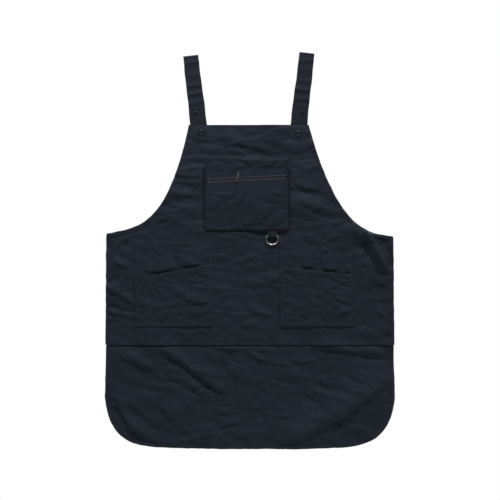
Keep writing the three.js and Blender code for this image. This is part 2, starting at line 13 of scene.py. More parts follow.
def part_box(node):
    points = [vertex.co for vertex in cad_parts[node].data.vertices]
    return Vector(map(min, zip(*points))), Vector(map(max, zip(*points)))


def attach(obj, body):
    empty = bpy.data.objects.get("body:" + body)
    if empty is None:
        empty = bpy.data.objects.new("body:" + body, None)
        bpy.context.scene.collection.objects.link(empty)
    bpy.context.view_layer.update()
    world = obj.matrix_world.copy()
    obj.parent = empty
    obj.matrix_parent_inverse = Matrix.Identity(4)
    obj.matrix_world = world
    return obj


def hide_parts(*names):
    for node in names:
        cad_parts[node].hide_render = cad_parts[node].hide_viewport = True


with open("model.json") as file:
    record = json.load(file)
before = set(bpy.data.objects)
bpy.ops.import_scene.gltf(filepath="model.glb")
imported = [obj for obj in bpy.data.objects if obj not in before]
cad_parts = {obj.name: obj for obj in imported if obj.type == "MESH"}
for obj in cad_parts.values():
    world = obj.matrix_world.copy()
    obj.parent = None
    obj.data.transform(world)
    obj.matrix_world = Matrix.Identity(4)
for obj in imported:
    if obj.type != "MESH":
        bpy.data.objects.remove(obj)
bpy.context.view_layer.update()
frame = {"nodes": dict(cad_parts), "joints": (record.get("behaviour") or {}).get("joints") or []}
mm = 0.001

# ---- Body panel ----
# Bib and waist, cut in one piece from navy cotton drill of about 240 g/m2. It hangs from two press studs
# at the bib's corners, and keeps soft creases from being folded.


class Wire:
    """A socket of a material's node tree. Sums on it add Math nodes."""

    def __init__(self, finish, socket):
        self.finish = finish
        self.socket = socket

    def math(self, operation, *values):
        return self.finish.node("Math", {"operation": operation}, *values)

    def __add__(self, other):
        return self.math("ADD", self, other)

    __radd__ = __add__

    def __sub__(self, other):
        return self.math("SUBTRACT", self, other)

    def __rsub__(self, other):
        return self.math("SUBTRACT", other, self)

    def __mul__(self, other):
        return self.math("MULTIPLY", self, other)

    __rmul__ = __mul__

    def __pow__(self, other):
        return self.math("POWER", self, other)

    def wave(self):
        return self.math("SINE", self)


class Finish:
    """A material: its nodes are made by node(), and shade() joins them to the shader."""

    def __init__(self, name):
        self.material = bpy.data.materials.new(name)
        self.material.use_nodes = True
        self.tree = self.material.node_tree
        self.shader = self.tree.nodes["Principled BSDF"]
        self.place = self.node("TexCoord", {}, out="Object")

    def node(self, kind, settings, *values, out=0, **named):
        made = self.tree.nodes.new("ShaderNode" + kind)
        for key, value in settings.items():
            if key == "stops":
                for stop, (at, colour) in zip(made.color_ramp.elements, value):
                    stop.position = at
                    stop.color = colour
            else:
                setattr(made, key, value)
        for key, value in [*enumerate(values), *named.items()]:
            socket = made.inputs[key]
            if isinstance(value, Wire):
                self.tree.links.new(value.socket, socket)
            else:
                socket.default_value = value
        return Wire(self, made.outputs[out])

    def turned(self, angle):
        """The place on the piece, turned about Y so that a pattern's X and Z follow its grain."""
        return self.node("Mapping", {}, self.place, Rotation=(0, angle, 0))

    def stretched(self, place, x, y, z):
        return self.node("Mapping", {}, place, Scale=(x, y, z))

    def noise(self, place, scale, detail=2.0, roughness=0.5):
        return self.node("TexNoise", {}, place, Scale=scale, Detail=detail, Roughness=roughness)

    def mixed(self, share, first, second):
        """From colour first to colour second as share goes from 0 to 1."""
        made = self.tree.nodes.new("ShaderNodeMix")
        made.data_type = "RGBA"
        self.tree.links.new(share.socket, made.inputs["Factor"])
        for index, value in ((6, first), (7, second)):
            if isinstance(value, Wire):
                self.tree.links.new(value.socket, made.inputs[index])
            else:
                made.inputs[index].default_value = value
        return Wire(self, made.outputs[2])

    def shade(self, colour, roughness, height=None, depth=0.0, **constants):
        for key, value in (("Base Color", colour), ("Roughness", roughness)):
            if isinstance(value, Wire):
                self.tree.links.new(value.socket, self.shader.inputs[key])
            else:
                self.shader.inputs[key].default_value = value
        for key, value in constants.items():
            self.shader.inputs[key.replace("_", " ")].default_value = value
        if height is not None:
            bump = self.node("Bump", {}, Height=height, Strength=1.0, Distance=depth)
            self.tree.links.new(bump.socket, self.shader.inputs["Normal"])
        return self.material


def drill(name, tone, turn=0.0, rib=0.9 * mm):
    """Dyed cotton drill: slanted twill ribs, uneven yarns and a slightly uneven dye."""
    cloth = Finish(name)
    lie = cloth.turned(turn)
    parts = cloth.tree.nodes.new("ShaderNodeSeparateXYZ")
    cloth.tree.links.new(lie.socket, parts.inputs[0])
    x = Wire(cloth, parts.outputs["X"])
    z = Wire(cloth, parts.outputs["Z"])
    turns = 2 * math.pi / rib
    uneven = cloth.noise(lie, 900.0)
    ribs = ((x * 0.55 + z) * turns + uneven * 2.5).wave()
    weft = cloth.noise(cloth.stretched(lie, 160, 160, 1400), 1.0)
    warp = cloth.noise(cloth.stretched(lie, 1400, 160, 160), 1.0)
    dye = cloth.noise(lie, 14.0, 4.0, 0.6)
    fade = cloth.noise(lie, 3.2, 2.0)
    share = dye * 0.45 + fade * 0.25 + (weft + warp) * 0.15
    dark = (*[0.80 * c for c in tone], 1)
    light = (*[1.20 * c for c in tone], 1)
    height = ribs * 0.35 + weft * 0.8 + warp * 0.8
    return cloth.shade(
        cloth.mixed(share, dark, light),
        dye * 0.10 + 0.78,
        height,
        0.10 * mm,
        Sheen_Weight=0.06,
        Sheen_Roughness=0.45,
        Sheen_Tint=(0.62, 0.70, 0.95, 1),
        Specular_IOR_Level=0.20,
    )


navy = (0.0112, 0.0166, 0.0272)
apron_drill = drill("navy_drill", navy)


def nothing_selected():
    if bpy.context.object and bpy.context.object.mode != "OBJECT":
        bpy.ops.object.mode_set(mode="OBJECT")
    bpy.ops.object.select_all(action="DESELECT")


def made_active(piece):
    nothing_selected()
    piece.select_set(True)
    bpy.context.view_layer.objects.active = piece


def modified(piece, kind, **settings):
    """Adds a modifier, sets it and applies it."""
    made_active(piece)
    modifier = piece.modifiers.new(kind.lower(), kind)
    for key, value in settings.items():
        setattr(modifier, key, value)
    bpy.ops.object.modifier_apply(modifier=modifier.name)


def points_of(piece):
    flat = np.empty(len(piece.data.vertices) * 3)
    piece.data.vertices.foreach_get("co", flat)
    return flat.reshape(-1, 3)


def move_points(piece, points):
    piece.data.vertices.foreach_set("co", points.astype(np.float32).ravel())
    piece.data.update()


def outline(node):
    """The outer edge of a CAD node's front face, as points (x, z) in order round it."""
    whole = bmesh.new()
    whole.from_mesh(frame["nodes"][node].data)
    bmesh.ops.remove_doubles(whole, verts=whole.verts, dist=0.01 * mm)
    front = min(v.co.y for v in whole.verts) + 0.05 * mm
    faces = {f for f in whole.faces if all(v.co.y < front for v in f.verts)}
    links = {}
    for face in faces:
        for loop in face.loops:
            if not any(f in faces for f in loop.edge.link_faces if f is not face):
                links[loop.vert.index] = loop.link_loop_next.vert.index
    whole.verts.ensure_lookup_table()
    place = {i: (whole.verts[i].co.x, whole.verts[i].co.z) for i in links}
    rings = []
    while links:
        start = at = next(iter(links))
        ring = []
        while at in links:
            ring.append(place[at])
            at = links.pop(at)
        rings.append(np.array(ring))
    whole.free()
    return max(rings, key=lambda ring: np.ptp(ring[:, 0]) + np.ptp(ring[:, 1]))


def smooth_route(route, step):
    """A curve through the points of route, with a point about every step."""
    route = np.asarray(route, float)
    padded = np.vstack([2 * route[0] - route[1], route, 2 * route[-1] - route[-2]])
    made = []
    for i in range(len(route) - 1):
        a, b, c, d = padded[i : i + 4]
        count = max(2, int(np.ceil(np.linalg.norm(c - b) / step)))
        t = (np.arange(count) / count)[:, None]
        made.append(
            b + 0.5 * t * (c - a) + t**2 * (a - 2.5 * b + 2 * c - 0.5 * d)
            + 0.5 * t**3 * (3 * b - a - 3 * c + d)
        )
    return np.vstack([*made, route[-1:]])


def from_route(x, z, route):
    """Distance of the points (x, z) from a route, negative to its right, and how far along they lie."""
    nearest = np.full(x.shape, 1e9)
    signed = np.zeros(x.shape)
    along = np.zeros(x.shape)
    steps = np.diff(route, axis=0)
    lengths = np.hypot(*steps.T)
    before = np.concatenate([[0], np.cumsum(lengths)])
    for (px, pz), (dx, dz), length, start in zip(route, steps, lengths, before):
        t = np.clip(((x - px) * dx + (z - pz) * dz) / length**2, 0, 1)
        away_x = x - px - t * dx
        away_z = z - pz - t * dz
        away = np.hypot(away_x, away_z)
        closer = away < nearest
        nearest = np.where(closer, away, nearest)
        side = np.sign(dx * away_z - dz * away_x)
        signed = np.where(closer, away * side, signed)
        along = np.where(closer, (start + t * length) / before[-1], along)
    return signed, along


def fold(x, z, route, height, right, left):
    """The lift of one fold at (x, z). Its crest follows route, in millimetres, and falls away over the
    distances right and left of it, so that the shorter one is the steep side."""
    path = smooth_route(np.asarray(route) * mm, 12 * mm)
    reach = 3 * max(right, left) * mm
    low = path.min(0) - reach
    high = path.max(0) + reach
    near = (x > low[0]) & (x < high[0]) & (z > low[1]) & (z < high[1])
    lift = np.zeros(x.shape)
    if near.any():
        signed, along = from_route(x[near], z[near], path)
        width = np.where(signed < 0, right, left) * mm
        ends = np.clip(np.minimum(along, 1 - along) * 3.5, 0, 1)
        lift[near] = height * mm * np.exp(-((signed / width) ** 2)) * ends * (2 - ends)
    return lift


def wrinkles(x, z, seed, count, box, angle, spread, length, height, width):
    """Scattered small folds in box (x0, x1, z0, z1), mostly lying at angle; sizes are ranges."""
    draw = np.random.default_rng(seed)
    lift = np.zeros(x.shape)
    for _ in range(count):
        middle = np.array([draw.uniform(*box[:2]), draw.uniform(*box[2:])])
        turn = math.radians(angle + draw.normal() * spread)
        half = draw.uniform(*length) / 2
        along = np.array([math.cos(turn), math.sin(turn)])
        bow = np.array([-along[1], along[0]]) * draw.normal() * half * 0.22
        route = [middle - along * half, middle + bow, middle + along * half]
        steep = draw.uniform(*width)
        gentle = steep * draw.uniform(1.0, 2.4)
        sides = (steep, gentle) if draw.random() < 0.6 else (gentle, steep)
        rise = draw.uniform(*height) * (1 if draw.random() < 0.6 else -1)
        lift += fold(x, z, route, rise, *sides)
    return lift


def swell(x, z, seed, waves, length, height):
    """A smooth uneven surface, from waves of about one length."""
    draw = np.random.default_rng(seed)
    lift = np.zeros(x.shape)
    for _ in range(waves):
        turn = draw.uniform(0, math.pi)
        pace = 2 * math.pi / (length * draw.uniform(0.7, 1.5) * mm)
        lift += np.sin((x * math.cos(turn) + z * math.sin(turn)) * pace + draw.uniform(0, 6.3))
    return lift * height * mm / math.sqrt(waves)


def crumpled(x, z, seed, length, height, stretch=1.0, lean=0.0):
    """Shallow facets that meet in soft creases, drawn out stretch times along the direction lean."""
    along = (x * math.cos(lean) + z * math.sin(lean)) / stretch
    across = z * math.cos(lean) - x * math.sin(lean)
    bend = swell(along, across, seed, 7, length * 1.7, length * 0.22)
    facets = swell(along + bend, across - bend, seed + 1, 12, length, 1.0) / mm
    return height * mm * (np.sqrt(facets**2 + 0.01) - 0.8)


def eased(value, low, high):
    """0 below low, 1 above high, and smooth between."""
    t = np.clip((value - low) / (high - low), 0, 1)
    return t * t * (3 - 2 * t)


# crest, height, and the widths of its right and left slopes; a negative height is a valley
body_folds = [
    # above the chest pocket
    ([(-60, -232), (0, -240), (62, -254)], 2.0, 7, 18),
    ([(20, -212), (70, -232), (120, -258)], 2.0, 8, 20),
    ([(-90, -214), (-40, -220)], 1.8, 8, 12),
    # drag lines from the left armhole to the chest pocket
    ([(-205, -312), (-165, -318), (-121, -318)], 2.0, 4, 9),
    ([(-198, -331), (-160, -337), (-124, -336)], 1.6, 4, 7),
    ([(-214, -360), (-170, -369), (-128, -365)], 2.2, 5, 11),
    ([(-228, -388), (-190, -396), (-150, -399)], 1.8, 5, 10),
    ([(-244, -425), (-205, -435), (-160, -441)], 2.2, 6, 12),
    # and from the right one
    ([(118, -300), (150, -298), (178, -288)], 1.6, 6, 10),
    ([(116, -338), (150, -350), (190, -356)], 2.0, 5, 11),
    ([(124, -392), (170, -394), (215, -384)], 1.6, 7, 12),
    ([(118, -432), (170, -440), (240, -436)], 1.6, 7, 14),
    # upper left corner
    ([(-366, -520), (-340, -492), (-306, -468)], 3.2, 12, 6),
    ([(-356, -532), (-336, -549), (-309, -557)], 2.6, 5, 12),
    ([(-369, -610), (-341, -624), (-306, -644)], 3.4, 5, 14),
    ([(-368, -668), (-352, -677)], 2.0, 4, 8),
    # deep folds in the upper right corner
    ([(298, -452), (312, -478), (332, -514), (358, -572)], 12.0, 11, 6),
    ([(342, -474), (362, -520), (370, -566)], -4.5, 8, 8),
    ([(266, -440), (286, -472), (300, -502)], 4.6, 7, 5),
    ([(292, -470), (312, -520), (340, -566)], -3.0, 7, 7),
    ([(206, -314), (234, -372), (256, -414), (284, -446), (322, -466), (362, -474)], -3.4, 4, 4),
    # right side
    ([(296, -634), (333, -640), (370, -636)], 2.0, 5, 9),
    ([(300, -585), (335, -594), (369, -606)], 2.2, 6, 14),
    ([(326, -668), (350, -676), (359, -700), (360, -738)], 2.6, 10, 4),
    # between and below the side pockets
    ([(-12, -658), (16, -671), (72, -685)], 1.6, 5, 10),
    ([(12, -619), (76, -621)], 1.1, 5, 9),
    ([(-78, -616), (-66, -645)], 1.2, 5, 6),
    ([(-207, -711), (-188, -724), (-150, -727), (-123, -720), (-100, -733)], 1.8, 4, 6),
    ([(-269, -728), (-265, -752)], 1.8, 4, 7),
    ([(10, -736), (50, -748)], 1.6, 4, 8),
    ([(-88, -478), (-60, -482), (-25, -480)], 1.5, 4, 8),
]
skirt_folds = [
    ([(-244, -757), (-198, -786), (-127, -838), (-62, -886)], 6.5, 6, 20),
    ([(-346, -788), (-300, -800), (-244, -823)], 4.6, 6, 16),
    ([(-341, -878), (-328, -940), (-284, -984), (-228, -1012)], 5.4, 7, 15),
    ([(-372, -850), (-352, -905)], 2.0, 6, 9),
    ([(374, -843), (300, -892), (224, -942), (159, -979), (74, -1014)], 7.5, 30, 8),
    ([(400, -838), (300, -890), (224, -940), (159, -977), (40, -1024)], 8.0, 50, 72),
    ([(150, -757), (240, -768), (352, -786)], 5.4, 7, 16),
    ([(-124, -757), (-80, -764), (-28, -768)], 3.0, 5, 10),
    ([(-14, -760), (14, -786), (44, -808)], 2.8, 7, 9),
    ([(-186, -838), (-150, -862), (-122, -886)], 2.2, 6, 12),
    ([(-226, -914), (-210, -940), (-192, -964)], 1.9, 7, 6),
    ([(-84, -970), (-50, -962), (-14, -958)], 2.4, 5, 10),
    ([(-44, -1000), (-2, -992)], 2.0, 5, 8),
    ([(54, -948), (124, -940)], 1.8, 5, 11),
    ([(230, -990), (272, -972), (322, -982)], 2.6, 7, 8),
    ([(122, -802), (170, -800)], 1.6, 5, 8),
    ([(-150, -1012), (-120, -985)], 2.0, 6, 7),
    ([(60, -870), (120, -884), (190, -888)], 1.4, 7, 14),
]

body_low, body_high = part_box("body_panel")
skirt_low, skirt_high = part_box("skirt_panel")
lap = body_low.z
chest_low, chest_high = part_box("chest_pocket_gusset")
tab_low, tab_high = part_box("d_ring_tab")
ring_low, ring_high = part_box("d_ring")
pocket_boxes = [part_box(f"{side}_pocket_rear_layer") for side in ("left", "right")]
stud_middles = [(sum(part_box(f"snap_cap_{side}"), Vector()) / 2) for side in ("left", "right")]


def within(x, z, low, high, edge):
    """1 well inside the box from low to high, 0 outside it, over a band edge wide."""
    inside = np.minimum.reduce([x - low.x, high.x - x, z - low.z, high.z - z])
    return eased(inside, -edge, edge)


def hang(x, z):
    """How far the hung cloth stands forward of its flat lie at (x, z)."""
    lift = np.zeros(x.shape)
    on_body = z > lap - 4 * mm
    for route, *sizes in body_folds:
        lift += fold(x, z, route, *sizes)
    lift *= on_body
    for route, *sizes in skirt_folds:
        lift += fold(x, z, route, *sizes)
    lift *= 1.35
    lift += wrinkles(x, z, 3, 80, (-230, 230, -470, -200), 4, 18, (35, 120), (0.5, 1.7), (2.4, 5))
    lift += wrinkles(x, z, 5, 115, (-370, 370, -750, -480), 0, 24, (30, 115), (0.5, 1.6), (2.4, 5))
    lift += wrinkles(x, z, 8, 130, (-370, 370, -1020, -765), -20, 26, (35, 150), (0.6, 1.9), (2.6, 6))
    lift += swell(x, z, 11, 9, 190, 2.0)
    lift += crumpled(x, z, 14, 95, 2.8, 2.2, -0.35) + crumpled(x, z, 16, 44, 1.4, 2.4, -0.1)
    lift += crumpled(x, z, 18, 21, 0.5, 2.0, 0.3)
    lift -= 2.4 * mm * np.exp(-(((z - lap + 3.4 * mm) / (2.4 * mm)) ** 2)) * (z < lap - 1 * mm)
    calm = 1 - 0.9 * within(x, z, chest_low, chest_high, 6 * mm)
    calm *= 1 - within(x, z, tab_low, tab_high, 14 * mm)
    calm *= 1 - within(x, z, ring_low, ring_high, 14 * mm)
    for low, high in pocket_boxes:
        calm *= 1 - 0.7 * within(x, z, low, high, 5 * mm)
    for middle in stud_middles:
        calm *= eased(np.hypot(x - middle.x, z - middle.z), 12 * mm, 30 * mm)
    return lift * calm


def inside(points, ring):
    """Which points lie inside a closed ring."""
    x, z = points.T
    crossings = np.zeros(len(points), int)
    for (ax, az), (bx, bz) in zip(ring, np.roll(ring, -1, axis=0)):
        spans = (az > z) != (bz > z)
        with np.errstate(divide="ignore", invalid="ignore"):
            at = ax + (z - az) * (bx - ax) / (bz - az)
        crossings += spans & (x < at)
    return crossings % 2 == 1


def inset_ring(ring, distance):
    """A ring drawn in by a distance."""
    along = np.roll(ring, -1, axis=0) - np.roll(ring, 1, axis=0)
    along /= np.linalg.norm(along, axis=1)[:, None]
    inward = np.column_stack([-along[:, 1], along[:, 0]])
    if not inside(ring[:1] + inward[:1] * 1e-5, ring)[0]:
        inward = -inward
    return ring + inward * distance


def cut_cloth(name, ring, low, high, spacing, inset):
    """A flat panel in XZ: a grid from low to high, trimmed to a ring. Its cut edge lies inset from the
    ring at the sides, where a tape covers it."""
    nothing_selected()
    size = high - low
    middle = (high + low) / 2
    columns = round(size.x / spacing)
    rows = round(size.z / spacing)
    bpy.ops.mesh.primitive_grid_add(
        x_subdivisions=columns, y_subdivisions=rows, size=1, rotation=(math.pi / 2, 0, 0)
    )
    piece = bpy.context.object
    piece.name = name
    piece.scale = (size.x, size.z, 1)
    piece.location = (middle.x, 0, middle.z)
    bpy.ops.object.transform_apply(location=True, rotation=True, scale=True)
    piece.data.name = name
    edge = inset_ring(ring, inset)
    trimmed = bmesh.new()
    trimmed.from_mesh(piece.data)
    centres = np.array([f.calc_center_median().xz for f in trimmed.faces])
    keep = inside(centres, edge)
    bmesh.ops.delete(
        trimmed, geom=[f for f, stays in zip(trimmed.faces, keep) if not stays], context="FACES"
    )
    closed = np.vstack([edge, edge[:1]])
    border = [v for v in trimmed.verts if v.is_boundary]
    at = np.array([v.co.xz for v in border])
    steps = np.diff(closed, axis=0)
    best = np.full(len(at), 1e9)
    target = at.copy()
    for start, step in zip(closed[:-1], steps):
        t = np.clip(((at - start) @ step) / (step @ step), 0, 1)
        near = start + t[:, None] * step
        away = np.linalg.norm(at - near, axis=1)
        closer = away < best
        best[closer] = away[closer]
        target[closer] = near[closer]
    for vertex, (x, z) in zip(border, target):
        vertex.co.x = x
        vertex.co.z = z
    trimmed.to_mesh(piece.data)
    trimmed.free()
    return piece


def lie(piece, rise, back=0.0):
    """Moves a flat piece's points forward by rise(x, z), and back by a distance."""
    points = points_of(piece)
    points[:, 1] += back - rise(points[:, 0], points[:, 2])
    move_points(piece, points)


def finished(piece, material, body, slot, *nodes):
    """Smooth shading, material, body and the CAD nodes that the piece stands for. The argument slot is not used."""
    made_active(piece)
    bpy.ops.object.shade_smooth_by_angle(angle=math.radians(50))
    piece.data.materials.clear()
    piece.data.materials.append(material)
    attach(piece, body)
    if nodes:
        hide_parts(*nodes)
    return piece


def thickened(piece, thickness):
    modified(piece, "SOLIDIFY", thickness=thickness, offset=0, use_even_offset=True)


def surface_of(piece):
    """A piece's present surface, to lay stitches and tapes on."""
    piece.data.update()
    return BVHTree.FromPolygons(
        [v.co.copy() for v in piece.data.vertices], [p.vertices[:] for p in piece.data.polygons]
    )


cloth_thick = 1.0 * mm
body_ring = outline("body_panel")
body_cut = body_ring - np.outer(body_ring[:, 1] < lap + 1 * mm, (0, 0.8 * mm))
body_cloth = cut_cloth("body_cloth", body_cut, body_low, body_high, 6 * mm, 0.8 * mm)
modified(body_cloth, "SUBSURF", levels=1, render_levels=1, subdivision_type="SIMPLE")
lie(body_cloth, hang)
body_surface = surface_of(body_cloth)
thickened(body_cloth, cloth_thick)
finished(body_cloth, apron_drill, "apron", "cloth", "body_panel")

# ---- Skirt panel ----
# The lower panel, of the same drill. Its upper edge is sewn behind the body's hem, its lower corners are
# round, and it creases more because nothing is sewn onto it.

skirt_ring = outline("skirt_panel")
skirt_cloth = cut_cloth("skirt_cloth", skirt_ring, skirt_low, skirt_high, 6 * mm, 0.8 * mm)
modified(skirt_cloth, "SUBSURF", levels=1, render_levels=1, subdivision_type="SIMPLE")
skirt_back = (skirt_low.y + skirt_high.y) / 2
lie(skirt_cloth, hang, skirt_back)
skirt_surface = surface_of(skirt_cloth)
thickened(skirt_cloth, cloth_thick)
finished(skirt_cloth, apron_drill, "apron", "cloth", "skirt_panel")

# ---- Bib facing ----
# A strip of the same drill, sewn flat behind the bib's top edge. The press studs are riveted through it.

facing_low, facing_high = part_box("bib_facing")
facing = cut_cloth("facing", outline("bib_facing"), facing_low, facing_high, 5 * mm, 0.3 * mm)
lie(facing, hang, (facing_low.y + facing_high.y) / 2)
thickened(facing, cloth_thick)
finished(facing, apron_drill, "apron", "cloth", "bib_facing")

# ---- Stitching ----
# Lockstitch in navy polyester thread, 3 mm long, pulled a little into the cloth. Each row is one piece.

thread_finish = Finish("navy_thread")
strands = thread_finish.noise(thread_finish.stretched(thread_finish.place, 900, 900, 900), 1.0)
navy_thread = thread_finish.shade((0.016, 0.021, 0.034, 1), strands * 0.2 + 0.5, strands, 0.05 * mm)
pale_finish = Finish("grey_thread")
strands = pale_finish.noise(pale_finish.stretched(pale_finish.place, 900, 900, 900), 1.0)
grey_thread = pale_finish.shade((0.26, 0.27, 0.30, 1), strands * 0.2 + 0.5, strands, 0.05 * mm)
stitch_pitch = 3.4 * mm

nothing_selected()
bpy.ops.mesh.primitive_uv_sphere_add(segments=6, ring_count=5, radius=1, rotation=(0, math.pi / 2, 0))
bpy.ops.transform.resize(value=(1.5 * mm, 0.28 * mm, 0.30 * mm))
stitch = bpy.context.object
bpy.ops.object.transform_apply(location=True, rotation=True, scale=True)
stitch_points = points_of(stitch)
stitch_faces = [tuple(p.vertices) for p in stitch.data.polygons]
bpy.data.objects.remove(stitch)


def paced(route, pitch):
    """The points along a route that lie one pitch apart."""
    route = np.asarray(route, float)
    steps = np.linalg.norm(np.diff(route, axis=0), axis=1)
    before = np.concatenate([[0], np.cumsum(steps)])
    count = max(1, round(before[-1] / pitch))
    at = np.linspace(0, before[-1], count + 1)
    return np.column_stack([np.interp(at, before, c) for c in route.T])


def rounded(route, step, reach=4):
    """A route with a point every step, its corners eased."""
    path = paced(route, step)
    padded = np.vstack([np.repeat(path[:1], reach, 0), path, np.repeat(path[-1:], reach, 0)])
    weights = np.hanning(2 * reach + 3)[1:-1]
    weights /= weights.sum()
    made = np.column_stack([np.convolve(c, weights, "valid") for c in padded.T])
    made[[0, -1]] = path[[0, -1]]
    return made


def laid_on(surface, route, side=-1):
    """The points of a route in XZ, brought onto a surface from the front, or with side 1 from behind."""
    made = []
    for x, z in route:
        hit = surface.ray_cast(Vector((x, side, z)), Vector((0, -side, 0)))[0]
        if hit is None:
            hit = surface.find_nearest(Vector((x, 0, z)))[0]
        made.append((x, hit.y, z))
    return np.array(made)


def sewn(name, rows, material, body="apron", length=0.78):
    """One piece holding the stitches of several rows. A row is a list of points in space, a pitch apart."""
    points = []
    faces = []
    for row in rows:
        for a, b in zip(row[:-1], row[1:]):
            run = b - a
            long = run / max(np.linalg.norm(run), 1e-9)
            out = np.array([0, -1.0, 0])
            side = np.cross(long, out)
            side /= max(np.linalg.norm(side), 1e-9)
            out = np.cross(side, long)
            scale = length * np.linalg.norm(run) / (3.0 * mm)
            placed = (
                np.outer(stitch_points[:, 0] * scale, long)
                + np.outer(stitch_points[:, 1], -out)
                + np.outer(stitch_points[:, 2], side)
                + (a + b) / 2
            )
            faces += [tuple(len(points) * len(stitch_points) + i for i in f) for f in stitch_faces]
            points.append(placed)
    mesh = bpy.data.meshes.new(name)
    mesh.from_pydata(np.vstack(points).tolist(), [], faces)
    piece = bpy.data.objects.new(name, mesh)
    bpy.context.scene.collection.objects.link(piece)
    made_active(piece)
    bpy.ops.object.mode_set(mode="EDIT")
    bpy.ops.mesh.select_all(action="SELECT")
    bpy.ops.mesh.normals_make_consistent(inside=False)
    bpy.ops.object.mode_set(mode="OBJECT")
    bpy.ops.object.shade_smooth()
    mesh.materials.append(material)
    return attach(piece, body)


def row_on(surface, route, rise, side=-1, pitch=stitch_pitch):
    """A row of stitches on a surface that has been given its thickness since: rise lifts it to the face."""
    placed = laid_on(surface, paced(route, pitch), side)
    placed[:, 1] += side * rise
    return placed


half_cloth = cloth_thick / 2
thread_rise = half_cloth + 0.12 * mm
lap_ends = [body_low.x + 9 * mm, body_high.x - 9 * mm]
lap_rows = [[(lap_ends[0], lap + up), (lap_ends[1], lap + up)] for up in (3 * mm, 9.5 * mm)]
bib_top = body_high.z
bib_half = [p for p in body_ring if p[1] > bib_top - 0.1 * mm]
bib_left = min(p[0] for p in bib_half)
bib_right = max(p[0] for p in bib_half)
bib_rows = [
    [(bib_left + 9 * mm, bib_top - down), (bib_right - 9 * mm, bib_top - down)]
    for down in (2.5 * mm, 37 * mm)
]
sewn("body_stitches", [row_on(body_surface, r, thread_rise) for r in lap_rows + bib_rows], navy_thread)

# ---- Edge binding ----
# Bias-cut tape of the same drill, folded over the raw edges of the armholes, the sides and the skirt, and
# sewn down with one row. The stitching pulls it into small puckers.

binding_drill = drill("navy_bias_tape", [1.05 * c for c in navy], turn=math.pi / 4)


def ring_part(ring, first, last):
    """The points of a ring from the one nearest first to the one nearest last, by the shorter way."""
    i, j = (int(np.argmin(np.linalg.norm(ring - p, axis=1))) for p in (first, last))
    ways = []
    for step in (1, -1):
        order = [i]
        while order[-1] != j:
            order.append((order[-1] + step) % len(ring))
        ways.append(ring[order])
    return min(ways, key=len)


def grid_of(name, places):
    """A sheet whose points are given as rows: an array of rows by columns by 3."""
    rows, columns = places.shape[:2]
    nothing_selected()
    bpy.ops.mesh.primitive_grid_add(x_subdivisions=columns - 1, y_subdivisions=rows - 1, size=1)
    piece = bpy.context.object
    piece.name = name
    piece.data.name = name
    flat = points_of(piece)
    column = np.rint((flat[:, 0] + 0.5) * (columns - 1)).astype(int)
    row = np.rint((flat[:, 1] + 0.5) * (rows - 1)).astype(int)
    move_points(piece, places[row, column])
    return piece


# the tape's section: distance inwards from the edge, and place from front to back
tape_section = np.array([
    (8.2, -1.0), (7.2, -1.15), (6.4, -0.95), (5.4, -1.2), (3.2, -1.3), (1.2, -1.2), (-0.2, -0.95), (-0.75, -0.4),
    (-0.75, 0.4), (-0.2, 0.95), (1.2, 1.2), (3.2, 1.25), (5.4, 1.2), (6.4, 0.95), (7.2, 1.1), (8.0, 1.0),
]) * mm


def bound(name, rim, back, seed, node):
    """A tape folded over the edge that runs along rim, with its stitches."""
    path = rounded(rim, 2.2 * mm)
    along = np.gradient(path, axis=0)
    along /= np.linalg.norm(along, axis=1)[:, None]
    inward = np.column_stack([-along[:, 1], along[:, 0]])
    if (inward * ((0, -0.6) - path)).sum() < 0:
        inward = -inward
    draw = np.random.default_rng(seed)
    pucker = np.convolve(draw.normal(size=len(path) + 4), (0.2, 0.5, 0.7, 0.5, 0.2), "valid")
    wave = np.convolve(draw.normal(size=len(path) + 12), np.hanning(13) / 2.5, "valid")
    reach = tape_section[:, 0][None, :] + np.outer(pucker * 0.16 * mm + wave * 0.25 * mm, tape_section[:, 0] > 5 * mm)
    reach = reach + np.outer(wave, np.ones(len(tape_section))) * 0.25 * mm
    x = path[:, :1] + inward[:, :1] * reach
    z = path[:, 1:] + inward[:, 1:] * reach
    plump = 1 + 0.16 * pucker[:, None]
    y = tape_section[:, 1][None, :] * plump + back - hang(x.ravel(), z.ravel()).reshape(x.shape)
    piece = grid_of(name, np.stack([x, y, z], axis=2))
    surface = surface_of(piece)
    thickened(piece, 0.45 * mm)
    finished(piece, binding_drill, "apron", "cloth", node)
    line = path + inward * 6.4 * mm
    rows = [row_on(surface, line, 0.3 * mm, side) for side in (-1, 1)]
    sewn(name + "_stitches", rows, navy_thread)
    return piece


for side, sign, seed in (("left", -1, 31), ("right", 1, 32)):
    corner = (sign * max(abs(body_low.x), body_high.x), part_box(f"armhole_binding_{side}")[0].z)
    bib_corner = (bib_left if sign < 0 else bib_right, bib_top)
    underarm = ring_part(body_ring, bib_corner, corner)
    bound(f"armhole_tape_{side}", underarm, 0.0, seed, f"armhole_binding_{side}")
    side_end = body_ring[np.argmin(np.linalg.norm(body_ring - (corner[0], lap), axis=1))]
    side_rim = np.array([underarm[-1] * 0.99 + side_end * 0.01, side_end])
    bound(f"side_tape_{side}", side_rim, 0.0, seed + 2, f"side_binding_{side}")

hem_start = int(np.argmin(np.linalg.norm(skirt_ring - (skirt_low.x, lap), axis=1)))
hem = np.roll(skirt_ring, -hem_start, axis=0)
hem = hem[hem[:, 1] < lap - 20 * mm]
if hem[0][0] > 0:
    hem = hem[::-1]
hem = np.vstack([[body_low.x + 2.4 * mm, lap + 3 * mm], hem, [body_high.x - 2.4 * mm, lap + 3 * mm]])
bound("hem_tape", hem, skirt_back, 37, "skirt_binding")

# ---- Shoulder straps ----
# Two plies of drill sewn edge to edge, 39 mm wide at the shoulder and 43.5 mm at the bib. Each comes from
# behind the bib, turns over at the shoulder and runs down the back to the waist band.

